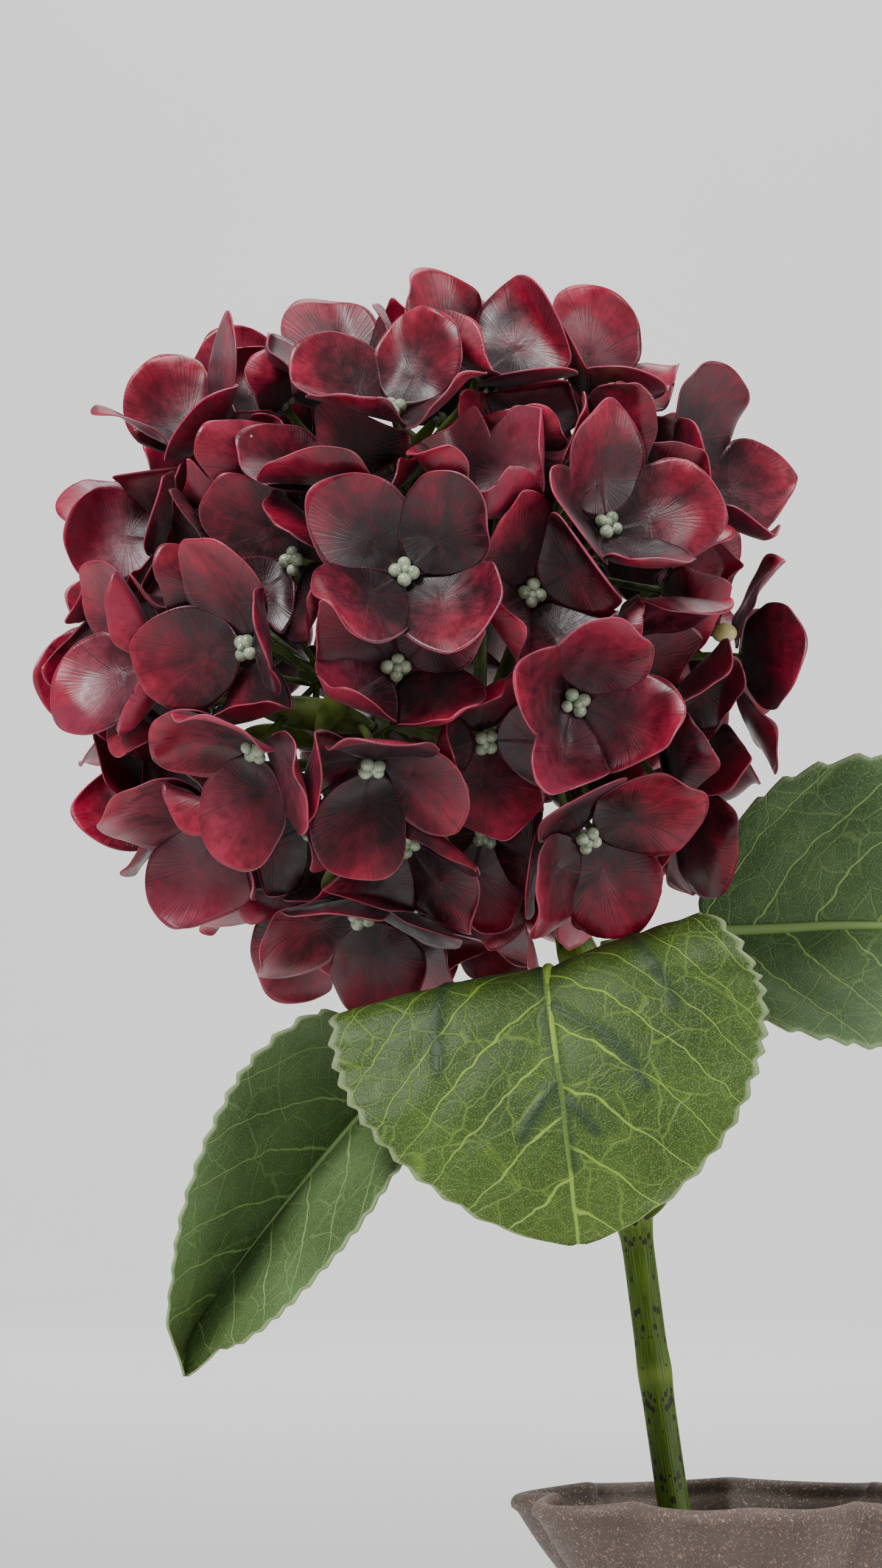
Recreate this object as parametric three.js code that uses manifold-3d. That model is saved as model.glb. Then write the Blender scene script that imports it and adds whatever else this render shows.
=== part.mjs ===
// A cut hydrangea standing in a lobed vase of water: one round head of cupped florets on
// a woody stem with three leaves. Millimetres, +Z up, origin at the centre of the vase's
// foot, +X to the right and +Y away from someone who looks at the front.
import * as THREE from 'three';
import Module from 'manifold-3d';

const wasm = await Module();
wasm.setup();

// Driving dimensions, in millimetres and degrees.
const GAP = 0.3; // between neighbouring pieces

const VASE_WALL = 5;
const VASE_FLOOR = 6;
const FLOOR_RADIUS = 40;
const VASE_OUTLINE = [ // height, outer radius, depth of the valleys and their rise
  [0, 41, 0, 0], [3, 44, 0, 0], [22, 50, 1, 0], [50, 52, 2, 0], [76, 48, 3, 0],
  [98, 37, 3.2, 0], [122, 27, 3, 0], [137, 31.5, 4.5, 0.3], [152, 42, 7, 0.9],
  [163, 50.5, 9, 1.4], [170.5, 55.5, 10, 1.8],
];
const VASE_LIP = [ // radius and height of the rings round the lip
  [57.5, 173], [56.6, 174.6], [54.5, 175], [52.3, 173.2],
];
const LOBE_EDGES = [-36, 36, 82, 129, 180, 232, 280]; // valleys, seen from above, front at 0
const LOBE_STEPS = 6; // angular steps in each lobe
const FRONT_LOBE_STEPS = 8;
const LOBE_ROUNDNESS = 0.8; // below 1, a lobe is full and its valleys are narrow
const FRONT_DENT = 0.5; // the front lobe is broad, with a shallow dent
const FRONT_DENT_TURN = 2;
const FRONT_DENT_WIDTH = 11;
const WATER_LEVEL = 97;
const HOLE_EXTRA = 5; // how far the stem's hole runs past its foot, through the water

const STEM_RADIUS = 4.2;
const STEM_SIDES = 10;
const STEM_ROUTE = [ // centre line, from the cut end on the vase's floor to the head
  [10, -6, VASE_FLOOR + GAP], [0.9, 5, 65], [-7.9, 15.8, 123], [-14.8, 25.5, 170],
  [-19.5, 31.5, 204], [-24.9, 33.5, 244.7], [-30.5, 33, 278], [-38.7, 32, 309.5],
  [-48.5, 30.5, 336], [-61.9, 28, 358.8],
];
const STEM_STEPS = 22;
const NODES = [ // height and swelling of each node of the stem
  [204, 0.3], [244.7, 1], [309.5, 1.2],
];
const NODE_LENGTH = 5;
const BUD = { foot: [-22.5, 32, 244], tip: [-15.5, 29.5, 252], radii: [2.1, 2.4, 1.7, 0.3] };
const BUD_SIDES = 5;

const LEAF_THICKNESS = 0.8;
const LEAF_ROWS = 15;
const LEAF_BASE = 0.015; // the first row's share of the way along the midrib
const LEAF_SPAN = 0.97;
const TOOTH_DEPTH = 1.9;
const TOOTH_PLACE = 0.72; // of the way to the next row
const STALK_RADIUS = 1.9;
const STALK_TAPER = 0.4;
const STALK_STEPS = 7;
const STALK_SIDES = 6;
const STALK_END = 0.1; // the stalk runs on under the blade to this share of the midrib
const LEAVES = { // midrib and stalk from the stem outwards, and the way across the blade
  leaf_front: {
    stalk: [[-38.7, 31, 309.5], [-40.5, 22, 305.5], [-43, 10, 301], [-43.5, -4, 300.5]],
    midrib: [[-43.5, -4, 300.5], [-47, -19, 306], [-48, -31, 302.5], [-46, -40.5, 286],
      [-43.5, -46, 267], [-40.5, -48, 239]],
    across: [[0.97, 0.16, 0.22], [0.99, 0.03, 0.12]],
    halfWidth: 52.5,
    fold: [[4, 3], [11, 7]],
    droop: 10,
  },
  leaf_left: {
    stalk: [[-39.5, 31.5, 308], [-50, 28, 299], [-66, 19, 289.5], [-83, 11, 280.5]],
    midrib: [[-83, 11, 280.5], [-94, 4, 269], [-106, 0, 255], [-119, -3, 239],
      [-130, -5, 224], [-136.5, -7, 213], [-137, -9, 205]],
    across: [[0.6, 0.1, -0.8], [0.8, 0.05, -0.6]],
    halfWidth: 41,
    fold: [[25, 70], [78, 62]],
    droop: 2,
  },
  leaf_right: {
    stalk: [[-37.5, 32.5, 309.5], [-30, 36, 312], [-20, 38.5, 314], [-8, 40, 315.5]],
    midrib: [[-8, 40, 315.5], [8, 38, 316], [38, 33, 317], [70, 26, 313], [100, 20, 300],
      [125, 16, 280]],
    across: [[0.05, 0.15, 0.99], [0.28, 0.1, 0.95]],
    halfWidth: 45,
    fold: [[40, 40], [15, 15]],
    droop: 4,
  },
};

const HEAD_CENTRE = new THREE.Vector3(-81.5, 20, 389);
const EYE_RADIUS = 69; // from the head's centre to the floret eyes
const SEPAL_LENGTH = 30;
const SEPAL_RISE = 41; // slope of a sepal halfway out
const SEPAL_THICKNESS = 0.8;
const SEPAL_BEND = 52; // turn of a sepal from its root to its tip
const SEPAL_HOLLOW = 2.6; // how far a sepal's sides stand above its midline
const SEPAL_WAVE = 2.5; // height of the one long wave round a sepal's margin
const SEPAL_RUFFLE = 1.2; // height of the short waves on it
const SEPAL_CURL = 2.6; // how far the margin turns outwards
const WAVE_CENTRE = 0.45; // the waves run round this share of the length
const PAIR_RISE = 0.7; // two sepals of each floret lie over the other two
const PAIR_LIFT = 0.12;
const NEIGHBOUR = 0.75; // florets whose directions are nearer than this press on each other
const CROSSING_RADIUS = 79; // where the planes between two florets cross the half-way line
const OVER_ANGLE = 42; // lean of such a plane over the lower of the two
const SPREAD_SHIFT = 8;
const PRESS_DEPTH = 2.5;
const PRESS_RISE = 0.35;
const EYE_SIZE = 3.1;
const EYE_HEIGHT = 3.4;
const PEDICEL_RADIUS = 1;
const PEDICEL_NECK = 2; // from under the eye to where the floret's stalk is slim
const BACK_FLORETS = 31;
const BACK_LEAN = 14;
const TOP_DROP = 5; // the head is a little flatter on top
const BACK_CHOICES = 120; // directions that the far side's florets are picked from
const BACK_SPACE = 17; // angle that these keep from the front ones
const BARE_ANGLE = 27; // no florets where the stem comes in
const SETTLING_ROUNDS = 40;
const SETTLING_PUSH = 0.004;
const SETTLING_LIMIT = 0.05;
const FRONT_LOOSENESS = 0.12;
const HEIGHT_STEP = 0.001; // keeps any two florets from being equally high
const SEED = 20;
const FLORETS = [ // azimuth, elevation, roll, spread, lift, lean right and up, chosen by eye
  [-4, 5, 46, 1.4, 6, 0, 10], [29, 4, 30, 1.1, 1.5, -12, 0], [45, 17, 95, 1.15, 5, -18, 5],
  [-3, -12, 42, 1.35, 2, 0, 25], [34, -43, 48, 1.5, 10, -10, 15], [61, -11, 40, 1.1, 3, 10, -5],
  [14, -24, 10, 1.3, -1, 10, -5], [-11, 43, 62, 1.25, 4, -10, 5],
  [-45, 23, 0, 0.9, -3, -15, 20], [26, 63, 25, 1.1, 3, 0, -15],
  [76, 30, 70, 1.25, 12, -25, 5], [80, 52, 40, 1.1, 8, -20, 10], [87, 0, 0, 1.6, 14, 5, 0],
  [89, -31, 45, 1.2, 9, 0, 5], [-27, -21, 70, 1.45, 7, -15, -22],
  [-6, -27, 80, 1.4, 5, 10, -30], [27, -13, 75, 1.2, 7, -30, 5], [30, 84, 10, 1, -3, 0, -10],
  [-24, 56, 35, 1, -1, -10, 10], [-55, 53, 5, 1, -2, 0, -10], [-63, 40, 75, 0.95, 2, 20, 15],
  [-69, 26, 20, 1.1, -2, 25, 0], [-86, 18, 50, 1, -1, 0, -10], [-47, 8, 70, 0.95, -2.5, -15, 20],
  [-56, -5, 30, 1.05, 1, -5, 10], [-32, -3, 5, 1.45, 3, -15, 0], [-84, -6, 80, 1.2, -4, 40, -5],
  [-62, -20, 55, 1.1, -2, 0, -15], [-88, -32, 15, 1.1, 0.5, 10, 20],
  [-46, -38, 45, 1.2, 4, 15, -10], [-86, -50, 60, 1.1, -1, 0, 15],
  [-24, -42, 20, 1.15, -1.5, -10, 10], [-75, -60, 35, 1.2, 2, 10, 20],
  [-30, -61, 85, 1.4, 6, 15, 15], [5, -44, 50, 1.15, 0, -10, 5],
  [17, -44, 5, 1.15, -3, -20, 10], [-14, 25, 85, 1.3, -1, -5, 30], [9, 27, 15, 1.05, 1, 5, 33],
  [29, 38, 55, 1, -1, -15, 20], [62, 34, 80, 1, 0.5, 30, 5], [104, 46, 30, 1.1, 3, 0, 0],
  [75, 72, 20, 1.1, -2, 0, -15], [71, 11, 30, 1.15, -1.5, 10, -20], [45, -2, 75, 1.15, -1, 5, -25],
  [-23, 12, 40, 1.35, -2.5, -25, -10],
];
const RAYS = 14;
const RAY_REACH = 50;
const RAY_RADIUS = 1.7;
const RAY_SIDES = 5;
const RAY_CLEARANCE = 40; // no rays this near to the stem
const ROOT_STEP = 0.05; // the florets of one ray branch off at steps of its length
const HUB_LENGTH = 10;
const HUB_SIDES = 8;

const rad = THREE.MathUtils.degToRad;
const vec = (p) => new THREE.Vector3(...p);
const curve = (points) => new THREE.CatmullRomCurve3(points.map(vec), false, 'centripetal');

// The same draws come out on every run.
function randomSource(seed) {
  let state = seed;
  return () => {
    state = (Math.imul(state, 1664525) + 1013904223) >>> 0;
    return state / 2 ** 32;
  };
}

// Closed solids

function geometryFrom(points, faces) {
  const geometry = new THREE.BufferGeometry();
  const numbers = points.flatMap((p) => [p.x, p.y, p.z]);
  geometry.setAttribute('position', new THREE.Float32BufferAttribute(numbers, 3));
  geometry.setIndex(faces.flat());
  return geometry;
}

function solidFrom({ points, faces }) {
  const vertProperties = new Float32Array(points.flatMap((p) => [p.x, p.y, p.z]));
  const triVerts = new Uint32Array(faces.flat());
  return new wasm.Manifold(new wasm.Mesh({ numProp: 3, vertProperties, triVerts }));
}

function geometryFromSolid(solid) {
  const { vertProperties, triVerts } = solid.getMesh();
  const geometry = new THREE.BufferGeometry();
  geometry.setAttribute('position', new THREE.Float32BufferAttribute(vertProperties, 3));
  geometry.setIndex(new THREE.Uint32BufferAttribute(triVerts, 1));
  return geometry;
}

// Joins the solids, and keeps only the largest body, with any hollow inside it filled.
function joinSolids(solids) {
  let queue = solids;
  while (queue.length > 1) {
    const next = [];
    for (let i = 0; i < queue.length; i += 2) {
      next.push(queue[i + 1] ? queue[i].add(queue[i + 1]) : queue[i]);
    }
    queue = next;
  }
  return largestBody(queue[0]);
}

function largestBody(solid) {
  const bodies = solid.decompose();
  return bodies.reduce((best, body) => (body.volume() > best.volume() ? body : best));
}

// A closed solid through rings of points, each ring counter-clockwise seen from the next
// one, with a centre point at both ends.
function ringSolid(rings) {
  const sides = rings[0].length;
  const centreOf = (ring) => ring.reduce((sum, p) => sum.add(p), new THREE.Vector3())
    .divideScalar(sides);
  const points = [...rings.flat(), centreOf(rings[0]), centreOf(rings[rings.length - 1])];
  const start = points.length - 2;
  const faces = [];
  for (let i = 0; i < sides; i += 1) {
    const j = (i + 1) % sides;
    faces.push([start, j, i]);
    for (let r = 0; r < rings.length - 1; r += 1) {
      const low = r * sides;
      const high = low + sides;
      faces.push([low + i, low + j, high + j], [low + i, high + j, high + i]);
    }
    const last = (rings.length - 1) * sides;
    faces.push([last + i, last + j, start + 1]);
  }
  return { points, faces };
}

// A rod along a curve: radiusAt gives its radius at a share of the way along.
function rod(path, steps, sides, radiusAt) {
  const rings = [];
  let side = new THREE.Vector3(0, 1, 0);
  for (let k = 0; k <= steps; k += 1) {
    const share = k / steps;
    const centre = path.getPointAt(share);
    const along = path.getTangentAt(share);
    const first = side.clone().addScaledVector(along, -side.dot(along)).normalize();
    const second = along.clone().cross(first);
    side = first;
    rings.push(Array.from({ length: sides }, (_, i) => {
      const turn = (2 * Math.PI * i) / sides;
      return centre.clone()
        .addScaledVector(first, radiusAt(share) * Math.cos(turn))
        .addScaledVector(second, radiusAt(share) * Math.sin(turn));
    }));
  }
  return ringSolid(rings);
}

// Gives a sheet of triangles its thickness, half on each side, with its rim closed.
function thicken(points, faces, thickness) {
  const normals = points.map(() => new THREE.Vector3());
  const edges = new Map();
  for (const [a, b, c] of faces) {
    const normal = points[b].clone().sub(points[a]).cross(points[c].clone().sub(points[a]));
    for (const corner of [a, b, c]) normals[corner].add(normal);
    for (const [from, to] of [[a, b], [b, c], [c, a]]) {
      if (!edges.delete(`${to} ${from}`)) edges.set(`${from} ${to}`, [from, to]);
    }
  }
  const count = points.length;
  const move = (share) => points.map((p, i) => (
    p.clone().addScaledVector(normals[i].clone().normalize(), share * thickness)
  ));
  const rim = [...edges.values()].flatMap(([from, to]) => [
    [from, to + count, to], [from, from + count, to + count],
  ]);
  return {
    points: [...move(0.5), ...move(-0.5)],
    faces: [...faces, ...faces.map(([a, b, c]) => [c + count, b + count, a + count]), ...rim],
  };
}

function named(name, geometry, material) {
  const mesh = new THREE.Mesh(geometry, material);
  mesh.name = name;
  return mesh;
}

// Vase and water

function lobeAngles() {
  const angles = [];
  LOBE_EDGES.forEach((from, i) => {
    const to = i + 1 < LOBE_EDGES.length ? LOBE_EDGES[i + 1] : LOBE_EDGES[0] + 360;
    const steps = i === 0 ? FRONT_LOBE_STEPS : LOBE_STEPS;
    for (let k = 0; k < steps; k += 1) {
      const share = k / steps;
      const turned = from + share * (to - from);
      const offCentre = (turned - FRONT_DENT_TURN) / FRONT_DENT_WIDTH;
      const dent = i === 0 ? FRONT_DENT * Math.exp(-(offCentre ** 2)) : 0;
      const swell = Math.sin(Math.PI * share) ** LOBE_ROUNDNESS - dent;
      angles.push({ turn: rad(turned), valley: 1 - swell });
    }
  });
  return angles;
}

// Counter-clockwise seen from above. Near the lip the wall stands higher in the valleys.
function lobedRing(radius, valleyDepth, height, valleyRise = 0) {
  return lobeAngles().map(({ turn, valley }) => {
    const reach = radius - valleyDepth * valley;
    const level = height + valleyRise * valley;
    return new THREE.Vector3(reach * Math.sin(turn), -reach * Math.cos(turn), level);
  });
}

// The inner wall's ring: the outer wall's, one wall thickness further in.
function innerRing([height, radius, valleyDepth, valleyRise], extra = 0) {
  return lobedRing(radius - VASE_WALL - extra, valleyDepth, height, valleyRise);
}

function vaseSolid() {
  const outer = VASE_OUTLINE.map(([height, radius, depth, rise]) => (
    lobedRing(radius, depth, height, rise)
  ));
  const [, , valley, lipRise] = VASE_OUTLINE[VASE_OUTLINE.length - 1];
  const lip = VASE_LIP.map(([radius, height]) => lobedRing(radius, valley, height, lipRise));
  const inner = VASE_OUTLINE.slice(2).reverse().map((row) => innerRing(row));
  const floor = lobedRing(FLOOR_RADIUS, 0, VASE_FLOOR);
  return ringSolid([...outer, ...lip, ...inner, floor]);
}

function vaseGeometry() {
  const { points, faces } = vaseSolid();
  return geometryFrom(points, faces);
}

// Built from the top down like the vase's inner wall, so that its facets lie along the wall's.
function waterSolid() {
  const filled = VASE_OUTLINE.slice(2).filter(([height]) => height < WATER_LEVEL);
  const [low, high] = [filled[filled.length - 1], VASE_OUTLINE[2 + filled.length]];
  const share = (WATER_LEVEL - low[0]) / (high[0] - low[0]);
  const top = low.map((value, i) => value + share * (high[i] - value));
  const { points, faces } = ringSolid([
    innerRing(top, GAP), ...filled.reverse().map((row) => innerRing(row, GAP)),
    lobedRing(FLOOR_RADIUS - 2 * GAP, 0, VASE_FLOOR + GAP),
  ]);
  const water = solidFrom({ points, faces: faces.map(([a, b, c]) => [c, b, a]) });
  return water.subtract(solidFrom(stemSolid(GAP, HOLE_EXTRA)));
}

// Stem

function stemRadius(height) {
  return NODES.reduce((radius, [nodeHeight, swelling]) => (
    radius + swelling * Math.exp(-(((height - nodeHeight) / NODE_LENGTH) ** 2))
  ), STEM_RADIUS);
}

// The stem with a level foot. For a hole it is grown by a clearance and made longer.
function stemSolid(grown = 0, longer = 0) {
  const path = curve(STEM_ROUTE);
  const solid = rod(path, STEM_STEPS, STEM_SIDES, (share) => (
    stemRadius(path.getPointAt(share).z) + grown
  ));
  const foot = [...solid.points.slice(0, STEM_SIDES), solid.points[solid.points.length - 2]];
  const downward = path.getTangentAt(0).multiplyScalar(-longer / path.getTangentAt(0).z);
  for (const point of foot) {
    point.z = STEM_ROUTE[0][2];
    point.add(downward);
  }
  return solid;
}

function budSolid() {
  const path = curve([BUD.foot, BUD.tip]);
  const steps = BUD.radii.length - 1;
  return rod(path, steps, BUD_SIDES, (share) => BUD.radii[Math.round(share * steps)]);
}

function stemGeometry() {
  return geometryFromSolid(joinSolids([solidFrom(stemSolid()), solidFrom(budSolid())]));
}

// Leaves

// Half the blade's width at a share of the way to its tip: broad near the base, pointed.
function leafWidth(share) {
  return 2.105 * share ** 0.45 * (1 - share) ** 0.65;
}

// The blade as a sheet: a midrib, a line halfway out on each side, and a toothed margin
// with one tooth to a row.
function leafSheet({ midrib, across, halfWidth, fold, droop }) {
  const path = curve(midrib);
  const place = (share, side, reach) => {
    const along = path.getTangentAt(share);
    const level = vec(across[0]).lerp(vec(across[1]), share);
    level.addScaledVector(along, -level.dot(along)).normalize();
    const up = along.clone().cross(level);
    const [nearBase, nearTip] = fold[side < 0 ? 0 : 1];
    const lift = rad(THREE.MathUtils.lerp(nearBase, nearTip, share));
    const out = reach * halfWidth * leafWidth(share);
    const sag = droop * (reach * leafWidth(share)) ** 2;
    return path.getPointAt(share)
      .addScaledVector(level, side * out * Math.cos(lift))
      .addScaledVector(up, out * Math.sin(lift) - sag);
  };
  const points = [];
  const rows = [];
  for (let k = 0; k <= LEAF_ROWS; k += 1) {
    const share = LEAF_BASE + (LEAF_SPAN * k) / LEAF_ROWS;
    const row = [points.push(path.getPointAt(share)) - 1];
    for (const side of [-1, 1]) {
      for (const reach of [0.5, 1]) row.push(points.push(place(share, side, reach)) - 1);
    }
    rows.push(row);
  }
  const faces = [];
  const addFace = (side, a, b, c) => faces.push(side > 0 ? [a, b, c] : [a, c, b]);
  for (let k = 0; k < LEAF_ROWS; k += 1) {
    const share = LEAF_BASE + (LEAF_SPAN * (k + TOOTH_PLACE)) / LEAF_ROWS;
    [-1, 1].forEach((side, half) => {
      const reach = 1 + TOOTH_DEPTH / (halfWidth * leafWidth(share));
      const tooth = points.push(place(share, side, reach)) - 1;
      const [centre, middle, margin] = [rows[k][0], rows[k][1 + 2 * half], rows[k][2 + 2 * half]];
      const [centre2, middle2, margin2] = [
        rows[k + 1][0], rows[k + 1][1 + 2 * half], rows[k + 1][2 + 2 * half],
      ];
      addFace(side, centre, middle, centre2);
      addFace(side, middle, middle2, centre2);
      addFace(side, middle, margin, tooth);
      addFace(side, middle, tooth, middle2);
      addFace(side, middle2, tooth, margin2);
    });
  }
  return { points, faces };
}

function leafGeometry(leaf, stemHole) {
  const sheet = leafSheet(leaf);
  const blade = solidFrom(thicken(sheet.points, sheet.faces, LEAF_THICKNESS));
  const route = [...leaf.stalk, curve(leaf.midrib).getPointAt(STALK_END).toArray()];
  const stalk = solidFrom(rod(curve(route), STALK_STEPS, STALK_SIDES, (share) => (
    STALK_RADIUS * (1.1 - STALK_TAPER * share)
  )));
  return geometryFromSolid(largestBody(blade.add(stalk).subtract(stemHole)));
}

// Flower head

function direction(azimuth, elevation) {
  const flat = Math.cos(elevation);
  return new THREE.Vector3(
    Math.sin(azimuth) * flat, -Math.cos(azimuth) * flat, Math.sin(elevation),
  );
}

function stemDirection() {
  return vec(STEM_ROUTE[STEM_ROUTE.length - 3]).sub(HEAD_CENTRE).normalize();
}

// Evenly spread directions, on a spiral from the bottom of a ball to its top.
function spiralDirections(count) {
  const goldenTurn = Math.PI * (3 - Math.sqrt(5));
  return Array.from({ length: count }, (_, i) => (
    direction(i * goldenTurn, Math.asin(-1 + (2 * i + 1) / count))
  ));
}

// Florets of the far side, spread out over what the front ones and the stem leave free.
function backDirections(front) {
  const free = spiralDirections(BACK_CHOICES).filter((d) => (
    d.angleTo(stemDirection()) > rad(BARE_ANGLE)
    && front.every((other) => d.angleTo(other) > rad(BACK_SPACE))
  ));
  const step = free.length / BACK_FLORETS;
  return Array.from({ length: BACK_FLORETS }, (_, i) => free[Math.floor(i * step)].clone());
}

// Pushes crowded florets apart. Those of the front keep nearly to their places.
function settle(front, back) {
  const all = [...front, ...back];
  const stem = stemDirection();
  for (let round = 0; round < SETTLING_ROUNDS; round += 1) {
    for (const one of all) {
      const push = new THREE.Vector3();
      for (const other of [...all, stem]) {
        const away = one.clone().sub(other);
        const distance = away.length();
        if (distance > 0 && distance < NEIGHBOUR) {
          push.addScaledVector(away, SETTLING_PUSH / distance ** 3);
        }
      }
      const looseness = front.includes(one) ? FRONT_LOOSENESS : 1;
      one.add(push.clampLength(0, SETTLING_LIMIT).multiplyScalar(looseness)).normalize();
    }
  }
}

function placeFlorets() {
  const random = randomSource(SEED);
  const front = FLORETS.map(([azimuth, elevation, roll, spread, lift, ...lean]) => ({
    facing: direction(rad(azimuth), rad(elevation)), roll: rad(roll), spread, lift, lean,
  }));
  const back = backDirections(front.map((floret) => floret.facing)).map((facing) => ({
    facing,
    roll: random() * Math.PI,
    spread: 0.95 + 0.3 * random(),
    lift: 6 * random() - 3 - TOP_DROP * Math.max(0, facing.z),
    lean: [BACK_LEAN * (2 * random() - 1), BACK_LEAN * (2 * random() - 1)],
  }));
  settle(front.map((floret) => floret.facing), back.map((floret) => floret.facing));
  return [...front, ...back].map((floret, number) => {
    const { facing, lift, lean } = floret;
    const level = new THREE.Vector3(0, 0, 1).addScaledVector(facing, -facing.z).normalize();
    const axis = facing.clone()
      .addScaledVector(level.clone().cross(facing), Math.tan(rad(lean[0])))
      .addScaledVector(level, Math.tan(rad(lean[1]))).normalize();
    const up = level.clone().addScaledVector(axis, -level.dot(axis)).normalize();
    return {
      ...floret,
      axis,
      up,
      right: up.clone().cross(axis),
      height: lift + HEIGHT_STEP * number,
      eye: HEAD_CENTRE.clone().addScaledVector(facing, EYE_RADIUS + lift),
    };
  });
}

// One sepal: its directions, and its slope at the root and at the tip. Its pair is 1 for the
// two upper sepals of a floret and -1 for the lower ones.
function sepalForm(floret, turn, pair, random) {
  const along = floret.right.clone().multiplyScalar(Math.cos(turn))
    .addScaledVector(floret.up, Math.sin(turn));
  const bend = rad(SEPAL_BEND) * (0.7 + 0.6 * random());
  const rise = rad(SEPAL_RISE * (0.85 + 0.3 * random())) / floret.spread;
  const middle = rise * (1 + PAIR_LIFT * pair);
  return {
    along,
    side: floret.axis.clone().cross(along),
    length: SEPAL_LENGTH * (0.92 + 0.16 * random()),
    from: middle - bend / 2,
    to: middle + bend / 2,
    foot: PAIR_RISE * pair,
    phase: 2 * Math.PI * random(),
  };
}

// A point of the sepal, across and along given as shares of its length. Its rim is 1 on the
// margin and 0 inside.
function sepalPoint(form, floret, across, along, rim) {
  const curl = (form.to - form.from) / form.length;
  const slope = form.from + curl * along * form.length;
  const out = (Math.sin(slope) - Math.sin(form.from)) / curl;
  const rise = (Math.cos(form.from) - Math.cos(slope)) / curl + form.foot;
  const turned = Math.atan2(across, along - WAVE_CENTRE);
  const wave = SEPAL_WAVE * Math.sin(3.1 * form.phase + 2 * turned)
    + SEPAL_RUFFLE * Math.sin(1.7 * form.phase + 4.3 * turned)
    - SEPAL_CURL * (0.6 + 0.6 * Math.cos(turned + form.phase));
  const hollow = (SEPAL_HOLLOW * (across / 0.4) ** 2 + rim * wave) * along;
  return floret.eye.clone()
    .addScaledVector(form.along, out - hollow * Math.sin(slope))
    .addScaledVector(floret.axis, rise + hollow * Math.cos(slope))
    .addScaledVector(form.side, across * form.length);
}

// Keeps a point on its floret's side of a plane half-way to each neighbour. The plane leans
// towards the lower of the two, so that the higher one's sepals lie over it.
function pressed(point, floret, florets) {
  for (const other of florets) {
    const way = other.facing.clone().sub(floret.facing);
    const apart = way.length();
    if (apart > 0 && apart < NEIGHBOUR) {
      const over = rad(floret.height > other.height ? OVER_ANGLE : -OVER_ANGLE);
      const middle = floret.facing.clone().add(other.facing).normalize();
      const normal = way.multiplyScalar(Math.cos(over) / apart)
        .addScaledVector(middle, -Math.sin(over));
      const crossing = CROSSING_RADIUS + (floret.height + other.height) / 2;
      const shift = SPREAD_SHIFT * (floret.spread - other.spread) - SEPAL_THICKNESS;
      const reach = point.clone().sub(HEAD_CENTRE).dot(normal) + crossing * Math.sin(over);
      const beyond = reach - shift + PRESS_DEPTH;
      if (beyond > 0) {
        const back = beyond - PRESS_DEPTH * (1 - Math.exp(-beyond / PRESS_DEPTH));
        const slide = floret.facing.clone()
          .addScaledVector(normal, -normal.dot(floret.facing));
        point.addScaledVector(slide, PRESS_RISE * back).addScaledVector(normal, -back);
      }
    }
  }
  return point;
}

const SEPAL_MARGIN = [[0.4, 0.35], [0.445, 0.77], [0, 1.04], [-0.445, 0.77], [-0.4, 0.35]];
const SEPAL_MIDDLE = [0, 0.55];

// A floret: four sepals round a raised eye, with its stalk run from under the eye to a root.
function floretSolid(floret, root, florets, random) {
  const points = [];
  const faces = [];
  const square = (centre, radius) => [0, 1, 2, 3].map((k) => {
    const turn = floret.roll + (k - 0.5) * (Math.PI / 2);
    return centre.clone().addScaledVector(floret.right, radius * Math.cos(turn))
      .addScaledVector(floret.up, radius * Math.sin(turn));
  });
  points.push(...square(floret.eye, EYE_SIZE));
  const top = points.push(floret.eye.clone().addScaledVector(floret.axis, EYE_HEIGHT)) - 1;
  for (let k = 0; k < 4; k += 1) {
    const form = sepalForm(floret, floret.roll + (k * Math.PI) / 2, 1 - 2 * (k % 2), random);
    const place = ([across, along], rim) => (
      points.push(pressed(sepalPoint(form, floret, -across, along, rim), floret, florets)) - 1
    );
    const middle = place(SEPAL_MIDDLE, 0);
    const margin = SEPAL_MARGIN.map((corner) => place(corner, 1));
    const next = (k + 1) % 4;
    const loop = [k, ...margin, next];
    faces.push([top, k, next]);
    loop.forEach((corner, i) => faces.push([middle, corner, loop[(i + 1) % loop.length]]));
  }
  const solid = thicken(points, faces, SEPAL_THICKNESS);
  const neck = floret.eye.clone().addScaledVector(floret.axis, -PEDICEL_NECK);
  addStalk(solid, points.length, points.length + top, [
    ...square(neck, PEDICEL_RADIUS), ...square(root, PEDICEL_RADIUS), root,
  ]);
  return solidFrom(solid);
}

// Replaces the point under a floret's eye, and its faces, by a stalk of two squares and an end.
function addStalk(solid, ring, apex, stalk) {
  const neck = solid.points.push(...stalk) - stalk.length;
  const end = solid.points.length - 1;
  solid.faces = solid.faces.filter((face) => !face.includes(apex));
  for (let k = 0; k < 4; k += 1) {
    const next = (k + 1) % 4;
    for (const [low, high] of [[ring, neck], [neck, neck + 4]]) {
      solid.faces.push([high + k, high + next, low + next], [high + k, low + next, low + k]);
    }
    solid.faces.push([end, neck + 4 + next, neck + 4 + k]);
  }
  solid.points[apex] = solid.points[end];
}

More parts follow.
